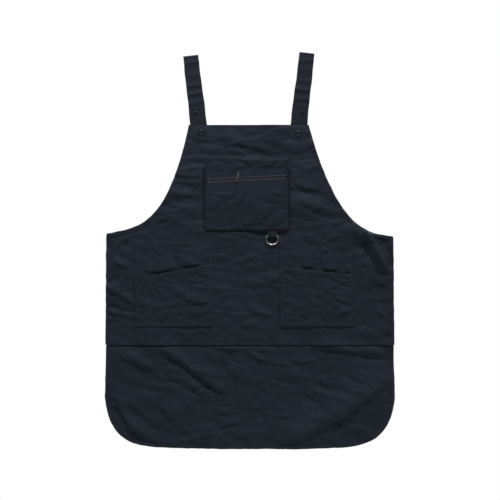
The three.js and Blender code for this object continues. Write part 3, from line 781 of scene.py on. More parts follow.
strap_lean = math.radians(6.5)
shoulder_width = 39 * mm
strap_width = 43.5 * mm
strap_front_length = 226 * mm
strap_thick = 1.1 * mm
# crossways creases of each strap: distance below the fold, height, and width
strap_creases = {
    "left": [(19, 1.9, 5), (52, 1.2, 6), (79, 2.2, 4.5), (101, 2.8, 5), (124, 1.9, 6), (141, 0.7, 3)],
    "right": [(21, 1.8, 5), (44, 1.1, 7), (74, 1.5, 5), (98, 2.9, 6), (122, 2.0, 5), (140, 0.6, 3)],
}


# Painted shade: the straps' drill is the body's navy made a fifth darker, to hold down the straps, which lie nearest
# the key light.
def shaded_strap_drill(side, sign):
    return drill(f"navy_strap_painted_shade_{side}", [0.80 * c for c in navy], turn=-sign * strap_lean)


for side, sign in (("left", -1), ("right", 1)):
    low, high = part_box(f"shoulder_strap_{side}")
    spread = shoulder_width / 2
    fold_z = high.z - spread * math.sin(strap_lean)
    fold_x = (low.x + spread * math.cos(strap_lean)) if sign < 0 else (high.x - spread * math.cos(strap_lean))
    back_length = (fold_z - low.z - strap_width / 2 * math.sin(strap_lean)) / math.cos(strap_lean)
    radius = (high.y - low.y - 1.2 * mm) / 2
    middle_y = (low.y + high.y) / 2
    turn = np.linspace(math.pi, 0, 11)
    front = np.linspace(-strap_front_length, -radius - 1 * mm, 88)
    back = np.linspace(-radius - 1 * mm, -back_length, 150)
    along_y = np.concatenate([np.full(88, middle_y - radius), middle_y + radius * np.cos(turn), np.full(150, middle_y + radius)])
    along_z = np.concatenate([front, -radius + radius * np.sin(turn) - 0.6 * mm, back])
    draw = np.random.default_rng(40 + sign)
    columns = 15
    across = np.linspace(-1, 1, columns)
    down = -along_z[:, None]
    is_front = (np.arange(len(along_y)) < 88)[:, None]
    push = np.zeros((len(along_y), columns))
    for at, height, width in strap_creases[side]:
        slant = draw.normal() * 2.5
        push += is_front * height * mm * np.exp(-(((down - (at + slant * across) * mm) / (width * mm)) ** 2))
    for _ in range(26):
        at = draw.uniform(60, 470)
        slant = draw.normal() * 4
        size = draw.uniform(0.25, 0.9) * draw.choice((-1, 1))
        middle = draw.uniform(-1, 1)
        ridge = np.exp(-(((down - (at + slant * across) * mm) / (draw.uniform(3, 7) * mm)) ** 2))
        push += ~is_front * size * mm * ridge * np.exp(-((across - middle) ** 2) / 0.9)
    push *= eased(np.abs(down - 188 * mm), 0, 26 * mm) * eased(down, 4 * mm, 10 * mm)
    push *= np.where(is_front, eased(-down, -178 * mm, -150 * mm), 1)
    push *= np.where(is_front, 1, eased(-down, -(back_length - 10 * mm), -(back_length - 60 * mm)))
    waver = 0.5 * mm * np.sin(down / (23 * mm) + draw.uniform(0, 6)) + 0.35 * mm * np.sin(down / (9 * mm))
    waver *= eased(down, 4 * mm, 20 * mm)
    half = np.interp(down, [0, -bib_top], [shoulder_width / 2, strap_width / 2])
    u = across[None, :] * half + waver
    edge_dip = 0.25 * mm * (np.abs(across[None, :]) > 0.9)
    v = np.repeat(along_z[:, None], columns, axis=1)
    outward = np.where(is_front, -1.0, 1.0)
    y = along_y[:, None] + outward * push - outward * edge_dip
    x = fold_x + u * math.cos(strap_lean) + sign * v * math.sin(strap_lean)
    z = fold_z - sign * u * math.sin(strap_lean) + v * math.cos(strap_lean)
    strap = grid_of(f"strap_{side}", np.stack([x, y, z], axis=2))
    modified(strap, "SUBSURF", levels=1, render_levels=1)
    thickened(strap, strap_thick)
    finished(strap, shaded_strap_drill(side, sign), "apron", "strap_cloth", f"shoulder_strap_{side}")
    strap_front_length + back_length

    def on_strap(first, last, share):
        """A line of points on the strap's face, from row first to row last, at a share of its width."""
        column = (share + 1) / 2 * (columns - 1)
        left = int(column)
        part = min(column - left, 1)
        right_column = min(left + 1, columns - 1)
        lines = [np.stack([w[first:last, c] for w in (x, y, z)], axis=1) for c in (left, right_column)]
        line = lines[0] * (1 - part) + lines[1] * part
        facing_out = np.where(is_front[first:last, 0], -1, 1)
        line[:, 1] += facing_out * (strap_thick / 2 + 0.12 * mm)
        return paced(line, stitch_pitch)

    rows = [on_strap(a, b, share) for share in (-0.88, 0.88) for a, b in ((0, 86), (102, 248))]
    for distance in (171 * mm, 174 * mm):
        row = int(np.argmin(np.abs(along_z[:88] + distance)))
        cross = np.stack([w[row, :] for w in (x, y, z)], axis=1)
        cross[:, 1] -= strap_thick / 2 + 0.15 * mm
        rows.append(paced(cross, stitch_pitch))
    for share in (-0.6, 0.6):
        rows.append(on_strap(235, 248, share))
    sewn(f"strap_stitches_{side}", rows, navy_thread)

# ---- Press studs ----
# Pressed and blackened brass: a cap in front of the bib riveted to a socket behind it, and a stud on the
# strap riveted to a post. A second stud sits further up each strap, for a longer setting.

metal = Finish("blackened_brass")
worn = metal.noise(metal.place, 700.0, 3.0)
scratch = metal.noise(metal.stretched(metal.place, 4000, 600, 600), 1.0)
black_brass = metal.shade(
    metal.mixed(worn, (0.018, 0.022, 0.030, 1), (0.048, 0.053, 0.065, 1)),
    worn * 0.20 + 0.36, scratch, 0.02 * mm, Metallic=0.9,
)


def pressed(name, rings, middle, node, material, body="apron", slot_name="dark_metal"):
    """A round pressed piece about an axis along Y: rings of (radius, y) in millimetres, in order."""
    nothing_selected()
    x, z = middle
    bpy.ops.mesh.primitive_circle_add(
        vertices=36, radius=rings[0][0] * mm, location=(x, rings[0][1] * mm, z), rotation=(math.pi / 2, 0, 0)
    )
    piece = bpy.context.object
    piece.name = name
    bpy.ops.object.transform_apply(location=True, rotation=True, scale=True)
    bpy.ops.object.mode_set(mode="EDIT")
    bpy.ops.mesh.select_all(action="SELECT")
    for (r0, y0), (r1, y1) in zip(rings[:-1], rings[1:]):
        bpy.ops.mesh.extrude_edges_move(
            MESH_OT_extrude_edges_indiv={}, TRANSFORM_OT_translate={"value": (0, (y1 - y0) * mm, 0)}
        )
        bpy.ops.transform.resize(value=(r1 / r0, 1, r1 / r0), center_override=(x, y1 * mm, z))
    bpy.ops.mesh.select_all(action="SELECT")
    bpy.ops.mesh.remove_doubles(threshold=0.002 * mm)
    bpy.ops.mesh.fill_holes(sides=64)
    bpy.ops.mesh.select_all(action="SELECT")
    bpy.ops.mesh.normals_make_consistent(inside=False)
    bpy.ops.object.mode_set(mode="OBJECT")
    return finished(piece, material, body, slot_name, node)


def box_middle(node):
    low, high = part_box(node)
    return ((low.x + high.x) / 2, (low.z + high.z) / 2)


for side in ("left", "right"):
    held = box_middle(f"snap_cap_{side}")
    spare = box_middle(f"spare_stud_{side}")
    pressed(
        f"stud_cap_{side}",
        [(0.6, -1.95), (3.6, -1.9), (4.6, -2.35), (5.6, -2.6), (7.2, -2.45), (8.2, -1.9), (8.5, -1.3), (8.3, -0.75),
         (1.7, -0.75), (1.7, 2.7), (0.5, 2.7)],
        held, f"snap_cap_{side}", black_brass,
    )
    pressed(
        f"stud_socket_{side}",
        [(2.2, 2.4), (5.9, 2.4), (6.4, 2.7), (6.5, 3.6), (6.0, 4.05), (3.4, 4.1), (2.9, 3.7), (2.2, 3.7), (2.2, 2.42)],
        held, f"snap_socket_{side}", black_brass,
    )
    for name, middle, node in (("stud", held, "snap_stud"), ("spare_stud", spare, "spare_stud")):
        pressed(
            f"{name}_{side}",
            [(0.5, 3.05), (1.4, 3.0), (1.9, 3.4), (1.9, 4.0), (1.5, 4.6), (2.4, 4.95), (4.6, 4.9), (5.2, 5.15),
             (5.9, 5.1), (6.0, 5.6), (0.5, 5.7)],
            middle, f"{node}_{side}", black_brass,
        )
    for name, middle, node, seat in (("post", held, "snap_post", 8.7), ("spare_post", spare, "spare_post", 7.5)):
        pressed(
            f"{name}_{side}",
            [(0.4, 5.3), (0.7, 5.3), (0.7, seat), (5.8, seat), (6.0, seat + 0.25), (5.4, seat + 0.7),
             (4.2, seat + 0.55), (2.6, seat + 0.78), (0.5, seat + 0.8)],
            middle, f"{node}_{side}", black_brass,
        )

# ---- Waist band ----
# A straight band of double drill across the back. Its ends are sewn to the body's back at the underarm
# corners with crossed boxes, and the straps are sewn to it.

band_low, band_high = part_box("waist_band")
band_tab = 25 * mm
band_ramp = 60 * mm
band_thick = 1.1 * mm
columns = 13
along = np.linspace(band_low.x, band_high.x, 190)[:, None]
share = np.linspace(0, 1, columns)[None, :]
from_end = np.minimum(along - band_low.x, band_high.x - along)
on_body = 1 - eased(from_end, band_tab, band_tab + band_ramp)
band_z = band_low.z + share * (band_high.z - band_low.z)
x = np.repeat(along, columns, axis=1)
ripples = wrinkles(
    x.ravel(), np.repeat(band_z, len(along), axis=0).ravel(), 51, 40,
    (-330, 330, band_low.z / mm, band_high.z / mm), 0, 40, (15, 60), (0.3, 1.0), (3, 7),
).reshape(x.shape)
sag = 1.5 * mm * eased(from_end, 0, 200 * mm)
z = np.repeat(band_z, len(along), axis=0) - sag
close = 1.5 * mm - hang(x.ravel(), z.ravel()).reshape(x.shape)
apart = band_high.y - 0.6 * mm
y = on_body * close + (1 - on_body) * apart + ripples * eased(from_end, 30 * mm, 70 * mm) * 0.7
straps_at = [abs(sum(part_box(f"shoulder_strap_{s}"), Vector()).x) / 2 for s in ("left", "right")]
band = grid_of("back_band", np.stack([x, y, z], axis=2))
band_surface = surface_of(band)
thickened(band, band_thick)
finished(band, drill("navy_band", [1.03 * c for c in navy]), "apron", "strap_cloth", "waist_band")
band_rise = band_thick / 2 + 0.12 * mm
rows = []
for up in (3 * mm, band_high.z - band_low.z - 3 * mm):
    line = np.column_stack([along[2:-2, 0], band_low.z + up - sag[2:-2, 0]])
    rows += [row_on(band_surface, line, band_rise, side, 3.6 * mm) for side in (1, -1)]
for end, inner in ((band_low.x + 3 * mm, band_low.x + 22 * mm), (band_high.x - 3 * mm, band_high.x - 22 * mm)):
    top = band_high.z - 4 * mm
    base = band_low.z + 4 * mm
    for line in ([(end, base), (end, top)], [(inner, base), (inner, top)], [(end, base), (inner, top)],
                 [(end, top), (inner, base)]):
        rows.append(row_on(band_surface, line, band_rise, 1))
sewn("band_stitches", rows, navy_thread)

# ---- Chest pocket ----
# A zipped pocket that stands off the bib: a front cut in two by its zip, and a gusset strip of the same
# drill that is sewn round its edge and down onto the bib.

zip_axis = next(j for j in frame["joints"] if j["name"] == "zip_slide")["axis"]
zip_along = np.array([zip_axis[0], zip_axis[2]])
zip_up = np.array([-zip_axis[2], zip_axis[0]])
coil_low, coil_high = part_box("zip_coil_upper")
lower_low, lower_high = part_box("zip_coil_lower")
zip_middle = np.array([(coil_low.x + lower_high.x) / 2, (coil_high.z + lower_low.z) / 2])
chest_folds = [
    ([(-90, -282), (-74, -296), (-66, -312)], 1.3, 4, 8),
    ([(4, -282), (38, -286), (66, -298)], 1.6, 5, 9),
    ([(-40, -302), (-10, -292), (20, -296)], 1.2, 5, 8),
    ([(56, -364), (92, -367)], 1.9, 3, 7),
    ([(64, -382), (94, -388)], 1.4, 4, 7),
    ([(-88, -356), (-80, -400), (-88, -444)], 1.3, 5, 9),
    ([(-4, -372), (10, -412), (4, -446)], 1.4, 8, 12),
    ([(-104, -376), (-72, -386)], 1.2, 4, 7),
    ([(-30, -446), (26, -438), (70, -446)], 1.3, 5, 8),
]


def to_ring(x, z, ring):
    """Distance of the points (x, z) from a closed ring."""
    closed = np.vstack([ring, ring[:1]])
    return np.abs(from_route(x, z, closed)[0])


chest_ring = outline("chest_pocket_gusset")
chest_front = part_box("chest_pocket_upper_panel")
chest_y = (chest_front[0].y + chest_front[1].y) / 2


def chest_slack(x, z):
    """How much nearer to the bib the empty pocket's front hangs, away from the zip that stiffens it."""
    return 9.5 * mm * eased(-z, 346 * mm, 485 * mm) - 3.0 * mm * eased(z, -306 * mm, -264 * mm)


def chest_rise(x, z):
    """How far the pocket's front stands forward of its flat lie. It stays flat where the slider runs."""
    lift = np.zeros(x.shape)
    for route, *sizes in chest_folds:
        lift += fold(x, z, route, *sizes)
    lift += wrinkles(x, z, 61, 34, (-108, 96, -452, -276), 10, 45, (15, 55), (0.3, 0.9), (3, 6))
    lift += crumpled(x, z, 62, 64, 1.9, 1.2, 0.9) + crumpled(x, z, 64, 26, 0.6, 1.3) + 1.1 * mm
    from_zip = np.abs((x - zip_middle[0]) * zip_up[0] + (z - zip_middle[1]) * zip_up[1])
    lift *= eased(from_zip, 12 * mm, 22 * mm)
    ceiling = (0.15 + 2.2 * eased(from_zip, 26 * mm, 36 * mm)) * mm
    lift = np.minimum(lift, ceiling)
    edge = to_ring(x, z, chest_ring)
    lift *= eased(edge, 1.5 * mm, 9 * mm)
    lift -= chest_slack(x, z) * (1 - 0.3 * eased(edge, 0, 70 * mm) * (z < -340 * mm))
    lift += 0.1 * mm * eased(edge, 7.5 * mm, 6 * mm) - 0.15 * mm * np.exp(-(((edge - 5 * mm) / (1.2 * mm)) ** 2))
    return lift - 1.9 * mm * (1 - np.clip(edge / (2.6 * mm), 0, 1)) ** 2


chest_surfaces = []
for part, flat, area in (("upper", (0.21, 0.056), 0.0108), ("lower", (0.218, 0.13), 0.0268)):
    node = f"chest_pocket_{part}_panel"
    low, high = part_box(node)
    front = cut_cloth(f"chest_pocket_{part}", outline(node), low, high, 3.2 * mm, 0.0)
    modified(front, "SUBSURF", levels=1, render_levels=1, subdivision_type="SIMPLE")
    lie(front, chest_rise, chest_y)
    chest_surfaces.append(surface_of(front))
    thickened(front, cloth_thick)
    finished(front, apron_drill, "apron", "cloth", node)

closed_ring = np.vstack([chest_ring, chest_ring[:1]])
gusset_path = rounded(closed_ring, 3 * mm, 2)
gusset_path[[0, -1]] = (gusset_path[1] + gusset_path[-2]) / 2
along = np.gradient(gusset_path, axis=0)
along[[0, -1]] = gusset_path[1] - gusset_path[-2]
along /= np.linalg.norm(along, axis=1)[:, None]
inward = np.column_stack([-along[:, 1], along[:, 0]])
inward *= np.sign((inward * (chest_ring.mean(0) - gusset_path)).sum())
draw = np.random.default_rng(63)
ripple = np.convolve(draw.normal(size=len(gusset_path) + 6), np.hanning(9)[1:-1] / 2, "valid")
ripple[-1] = ripple[0]
# the gusset's section: distance inwards, and share of its depth from the front
gusset_section = [(0.3, 0.03), (0.2, 0.1), (0.8, 0.3), (1.5, 0.5), (1.2, 0.72), (0.3, 0.9), (-0.6, 0.985), (-3.2, 1.0)]
columns = []
for push, share in gusset_section:
    amount = push * mm + ripple * 0.7 * mm * math.sin(math.pi * min(share, 1))
    places = gusset_path + inward * amount[:, None]
    base = -0.95 * mm - hang(places[:, 0], places[:, 1])
    rim = chest_front[1].y + chest_slack(*gusset_path.T)
    columns.append(np.column_stack([places[:, 0], rim * (1 - share) + base * share, places[:, 1]]))
gusset = grid_of("chest_pocket_side", np.stack(columns, axis=1))
made_active(gusset)
bpy.ops.object.mode_set(mode="EDIT")
bpy.ops.mesh.select_all(action="SELECT")
bpy.ops.mesh.remove_doubles(threshold=0.01 * mm)
bpy.ops.mesh.normals_make_consistent(inside=False)
bpy.ops.object.mode_set(mode="OBJECT")
thickened(gusset, 0.8 * mm)
finished(gusset, apron_drill, "apron", "cloth", "chest_pocket_gusset")


def zip_place(along_zip, above):
    """A point (x, z) so far along the zip from its middle, and so far above it."""
    return zip_middle + zip_along * along_zip + zip_up * above


def clear_of_zip(route):
    """The stretches of a route that keep off the zip's slot."""
    above = (np.asarray(route) - zip_middle) @ zip_up
    free = np.abs(above) > 5 * mm
    cuts = np.flatnonzero(np.diff(free.astype(int))) + 1
    return [r for r, f in zip(np.split(np.asarray(route), cuts), np.split(free, cuts)) if f[0] and len(r) > 2]


edge_rows = []
for inset in (5 * mm,):
    ring = inset_ring(gusset_path[:-1], inset)
    for stretch in clear_of_zip(paced(np.vstack([ring, ring[:1]]), stitch_pitch)):
        middle = (stretch.mean(0) - zip_middle) @ zip_up
        edge_rows.append(row_on(chest_surfaces[0 if middle > 0 else 1], stretch, thread_rise))
sewn("chest_pocket_stitches", edge_rows, navy_thread)
base_ring = inset_ring(gusset_path[:-1], -2.3 * mm)
base_row = row_on(body_surface, np.vstack([base_ring, base_ring[:1]]), thread_rise + 1.0 * mm)
sewn("chest_pocket_base_stitches", [base_row], navy_thread)
zip_half = (chest_high.x - chest_low.x) / 2 - 6 * mm
zip_rows = []
for surface, sign in ((chest_surfaces[0], 1), (chest_surfaces[1], -1)):
    ends = [zip_place(-zip_half, sign * 7.6 * mm), zip_place(zip_half, sign * 7.6 * mm)]
    zip_rows.append(row_on(surface, ends, thread_rise, pitch=5.2 * mm))
sewn("zip_seam_stitches_upper", zip_rows[:1], grey_thread, length=0.62)
sewn("zip_seam_stitches_lower", zip_rows[1:], navy_thread)

# ---- Zip ----
# A number 5 coil zip: nylon monofilament coils sewn to woven tapes, with nickel stops at its ends.

tape_finish = Finish("zip_tape")
tape_lie = tape_finish.turned(math.asin(zip_axis[2]))
bars = tape_finish.noise(tape_finish.stretched(tape_lie, 300, 300, 2600), 1.0)
cords = tape_finish.noise(tape_finish.stretched(tape_lie, 2600, 300, 300), 1.0)
woven_tape = tape_finish.shade(
    tape_finish.mixed(bars, (0.010, 0.012, 0.018, 1), (0.022, 0.026, 0.036, 1)),
    cords * 0.15 + 0.75, bars + cords * 0.6, 0.1 * mm,
)
coil_finish = Finish("coil_nylon")
coil_tone = coil_finish.noise(coil_finish.place, 500.0)
coil_nylon = coil_finish.shade(
    coil_finish.mixed(coil_tone, (0.085, 0.068, 0.074, 1), (0.16, 0.132, 0.14, 1)),
    coil_tone * 0.15 + 0.32, coil_tone, 0.02 * mm,
)
nickel_finish = Finish("dull_nickel")
nickel_tone = nickel_finish.noise(nickel_finish.place, 420.0, 4.0)
nickel_scratch = nickel_finish.noise(nickel_finish.stretched(nickel_finish.place, 500, 5000, 2500), 1.0)
dull_nickel = nickel_finish.shade(
    nickel_finish.mixed(nickel_tone, (0.055, 0.055, 0.060, 1), (0.30, 0.295, 0.285, 1)),
    nickel_scratch * 0.15 + nickel_tone * 0.12 + 0.22, nickel_scratch, 0.01 * mm, Metallic=0.9,
)
coil_pitch = 1.55 * mm
coil_run = (coil_high.x - coil_low.x) / zip_axis[0] - 1 * mm
tape_y = sum(c.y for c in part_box("zip_tape_upper")) / 2
coil_y = (coil_low.y + coil_high.y) / 2
for part, sign in (("upper", 1), ("lower", -1)):
    node = f"zip_tape_{part}"
    shape = outline(node)
    low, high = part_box(node)
    tape = cut_cloth(node.replace("_tape_", "_tape_cloth_"), shape, low, high, 2.4 * mm, 0.0)
    lie(tape, lambda x, z: 0.06 * mm * np.sin(x / (1.1 * mm)), tape_y)
    thickened(tape, 0.5 * mm)
    finished(tape, woven_tape, "apron", "zip_tape", node)

    # one turn of the coil, a flat loop of round filament across the chain
    nothing_selected()
    bpy.ops.mesh.primitive_torus_add(
        major_segments=10, minor_segments=5, major_radius=0.68 * mm, minor_radius=0.32 * mm,
        rotation=(0, math.pi / 2, 0),
    )
    turn = bpy.context.object
    bpy.ops.object.transform_apply(location=True, rotation=True, scale=True)
    turn_points = points_of(turn)
    turn_faces = [tuple(p.vertices) for p in turn.data.polygons]
    bpy.data.objects.remove(turn)
    turns = int(coil_run / coil_pitch)
    points = []
    for i in range(turns):
        local = turn_points * (1.15, 0.70, 1.0)
        local[:, 0] += local[:, 2] * 0.22 * sign
        at = (i - (turns - 1) / 2) * coil_pitch + (0.25 if sign > 0 else -0.25) * coil_pitch
        spot = zip_place(at, sign * 1.6 * mm)
        placed = np.column_stack([
            spot[0] + local[:, 0] * zip_along[0] + local[:, 2] * zip_up[0],
            coil_y + local[:, 1],
            spot[1] + local[:, 0] * zip_along[1] + local[:, 2] * zip_up[1],
        ])
        points.append(placed)
    mesh = bpy.data.meshes.new(f"coil_{part}")
    faces = [tuple(i * len(turn_points) + v for v in f) for i in range(turns) for f in turn_faces]
    mesh.from_pydata(np.vstack(points).tolist(), [], faces)
    coil = bpy.data.objects.new(f"coil_{part}", mesh)
    bpy.context.scene.collection.objects.link(coil)
    finished(coil, coil_nylon, "apron", "zip_coil", f"zip_coil_{part}")


def softened(name, node, material, slot_name, body, edge):
    """A copy of a hard CAD node with its edges broken, which stands for it."""
    source = frame["nodes"][node]
    mesh = source.data.copy()
    piece = bpy.data.objects.new(name, mesh)
    bpy.context.scene.collection.objects.link(piece)
    made_active(piece)
    bpy.ops.object.mode_set(mode="EDIT")
    bpy.ops.mesh.select_all(action="SELECT")
    bpy.ops.mesh.remove_doubles(threshold=0.005 * mm)
    bpy.ops.mesh.dissolve_limited(angle_limit=math.radians(1))
    bpy.ops.object.mode_set(mode="OBJECT")
    modified(piece, "BEVEL", width=edge, segments=3, limit_method="ANGLE", angle_limit=math.radians(28),
             harden_normals=False, use_clamp_overlap=True)
    return finished(piece, material, body, slot_name, node)


for node in ("zip_top_stop_upper", "zip_top_stop_lower", "zip_bottom_stop"):
    softened(node.replace("zip_", "").replace("_stop", "_zip_stop"), node, dull_nickel, "nickel", "apron", 0.35 * mm)

# ---- Slider and pull ----
# Die-cast zinc slider with a stamped pull, both plated in dull nickel. The pull turns in the slider's crown.

softened("slider", "zip_slider", dull_nickel, "nickel", "zip_slider", 0.28 * mm)
softened("pull", "zip_puller", dull_nickel, "nickel", "zip_puller", 0.22 * mm)

# ---- D-ring and tab ----
# A ring of 3.8 mm steel wire plated in pale nickel. It hangs in a folded tab of the same cloth, whose ends are caught in
# the chest pocket's lower seam.

ring_finish = Finish("pale_nickel")
ring_tone = ring_finish.noise(ring_finish.place, 260.0, 4.0)
ring_scratch = ring_finish.noise(ring_finish.stretched(ring_finish.place, 3500, 900, 900), 1.0)
pale_nickel = ring_finish.shade(
    ring_finish.mixed(ring_tone, (0.50, 0.47, 0.40, 1), (0.68, 0.65, 0.58, 1)),
    ring_scratch * 0.14 + ring_tone * 0.10 + 0.16, ring_scratch, 0.01 * mm, Metallic=1.0,
)
ring_piece = bpy.data.objects.new("ring", frame["nodes"]["d_ring"].data.copy())
bpy.context.scene.collection.objects.link(ring_piece)
made_active(ring_piece)
bpy.ops.object.mode_set(mode="EDIT")
bpy.ops.mesh.select_all(action="SELECT")
bpy.ops.mesh.remove_doubles(threshold=0.005 * mm)
bpy.ops.mesh.tris_convert_to_quads(face_threshold=math.radians(60), shape_threshold=math.radians(60))
bpy.ops.object.mode_set(mode="OBJECT")
modified(ring_piece, "SUBSURF", levels=2, render_levels=2)
finished(ring_piece, pale_nickel, "d_ring", "pale_metal", "d_ring")

wire = (ring_high.y - ring_low.y) / 2
bar_y = (ring_low.y + ring_high.y) / 2
bar_z = ring_high.z - wire
loop_radius = wire + 0.75 * mm
turn = np.linspace(math.radians(150), math.radians(372), 16)
tab_route = np.vstack([
    paced([(-2.5 * mm, chest_low.z + 0.6 * mm), (bar_y - loop_radius * 0.9, bar_z + loop_radius * 0.7)], 1.6 * mm)[:-1],
    np.column_stack([bar_y + loop_radius * np.cos(turn), bar_z + loop_radius * np.sin(turn)]),
    paced([(-1.3 * mm, bar_z + loop_radius * 0.6), (-1.25 * mm, chest_low.z + 0.6 * mm)], 1.6 * mm)[1:],
])
tab_across = np.linspace(-1, 1, 11)[None, :]
tab_middle = (tab_low.x + tab_high.x) / 2
tab_half = (tab_high.x - tab_low.x) / 2
x = tab_middle + tab_across * (tab_half - 0.5 * mm * np.exp(-np.linspace(-2, 2, len(tab_route)) ** 2)[:, None])
draw = np.random.default_rng(71)
dents = 0.12 * mm * draw.normal(size=(len(tab_route), 1)) * np.cos(tab_across * 2.2)
y = tab_route[:, :1] + dents
z = np.repeat(tab_route[:, 1:], tab_across.shape[1], axis=1)
ring_tab = grid_of("ring_tab", np.stack([x, y, z], axis=2))
modified(ring_tab, "SUBSURF", levels=1, render_levels=1)
thickened(ring_tab, 0.85 * mm)
# Painted shade: the tab's drill is the body's navy at a little over half its brightness, darkening the tab that hangs
# under the chest pocket.
shaded_tab_drill = drill("shaded_tab_drill", [0.55 * c for c in navy])
finished(ring_tab, shaded_tab_drill, "apron", "strap_cloth", "d_ring_tab")
tab_rows = []
for share in (-0.8, 0.8):
    tab_rows.append(np.array([
        (tab_middle + share * tab_half, y_ - 0.55 * mm, z_) for y_, z_ in tab_route[:5]
    ]))
sewn("ring_tab_stitches", tab_rows, navy_thread)

# ---- Side pockets ----
# Each is a square patch open at its top, and a second patch over it with a slanted, hemmed mouth. Both are
# sewn to the apron round three sides with a double row. Their mouths gape a little.

pocket_folds = {
    "left_rear": [
        ([(-280, -564), (-254, -566), (-226, -566)], 3.4, 3, 26),
        ([(-232, -564), (-212, -560), (-190, -556)], 2.6, 3, 24),
        ([(-188, -552), (-152, -549), (-118, -547)], 4.0, 3, 28),
        ([(-252, -494), (-240, -516), (-222, -524)], 1.4, 4, 7),
        ([(-196, -494), (-186, -512)], 1.3, 4, 7),
    ],
    "right_rear": [
        ([(130, -551), (150, -553), (170, -554)], 3.6, 3, 24),
        ([(186, -558), (209, -560), (232, -562)], 4.4, 3, 26),
        ([(248, -564), (260, -566), (272, -567)], 3.2, 3, 18),
        ([(90, -530), (170, -528), (262, -540)], 1.6, 9, 14),
        ([(190, -502), (200, -520)], 1.2, 4, 6),
        ([(222, -500), (240, -508)], 1.1, 4, 6),
    ],
    "left_front": [
        ([(-176, -632), (-146, -645), (-102, -645)], 3.2, 4, 10),
        ([(-204, -602), (-166, -626), (-112, -634)], 2.2, 8, 11),
        ([(-160, -677), (-106, -675)], 2.2, 4, 8),
        ([(-190, -645), (-150, -653)], 1.4, 4, 7),
        ([(-268, -594), (-273, -632), (-270, -684)], 2.2, 7, 10),
        ([(-132, -571), (-104, -578)], 1.8, 4, 7),
        ([(-160, -590), (-100, -594)], 1.4, 4, 7),
        ([(-180, -608), (-100, -610)], 1.2, 4, 7),
    ],
    "right_front": [
        ([(222, -684), (243, -673), (268, -667)], 2.4, 4, 9),
        ([(178, -672), (211, -678)], 1.8, 4, 7),
        ([(124, -678), (148, -684)], 1.7, 4, 7),
        ([(222, -634), (244, -642), (268, -646)], 2.2, 4, 8),
        ([(218, -622), (268, -631)], 1.9, 4, 7),
        ([(186, -604), (262, -612)], 1.3, 4, 8),
        ([(84, -584), (112, -588)], 1.2, 4, 7),
        ([(84, -640), (104, -652)], 1.3, 4, 7),
        ([(84, -668), (110, -672)], 1.2, 4, 7),
    ],
}


def four_corners(node):
    """Top left, top right, bottom right and bottom left corner of a patch, as points (x, z)."""
    ring = outline(node)
    picks = [ring @ way for way in ((-1, 0.6), (1, 0.6), (1, -0.6), (-1, -0.6))]
    return [ring[int(np.argmax(p))] for p in picks]


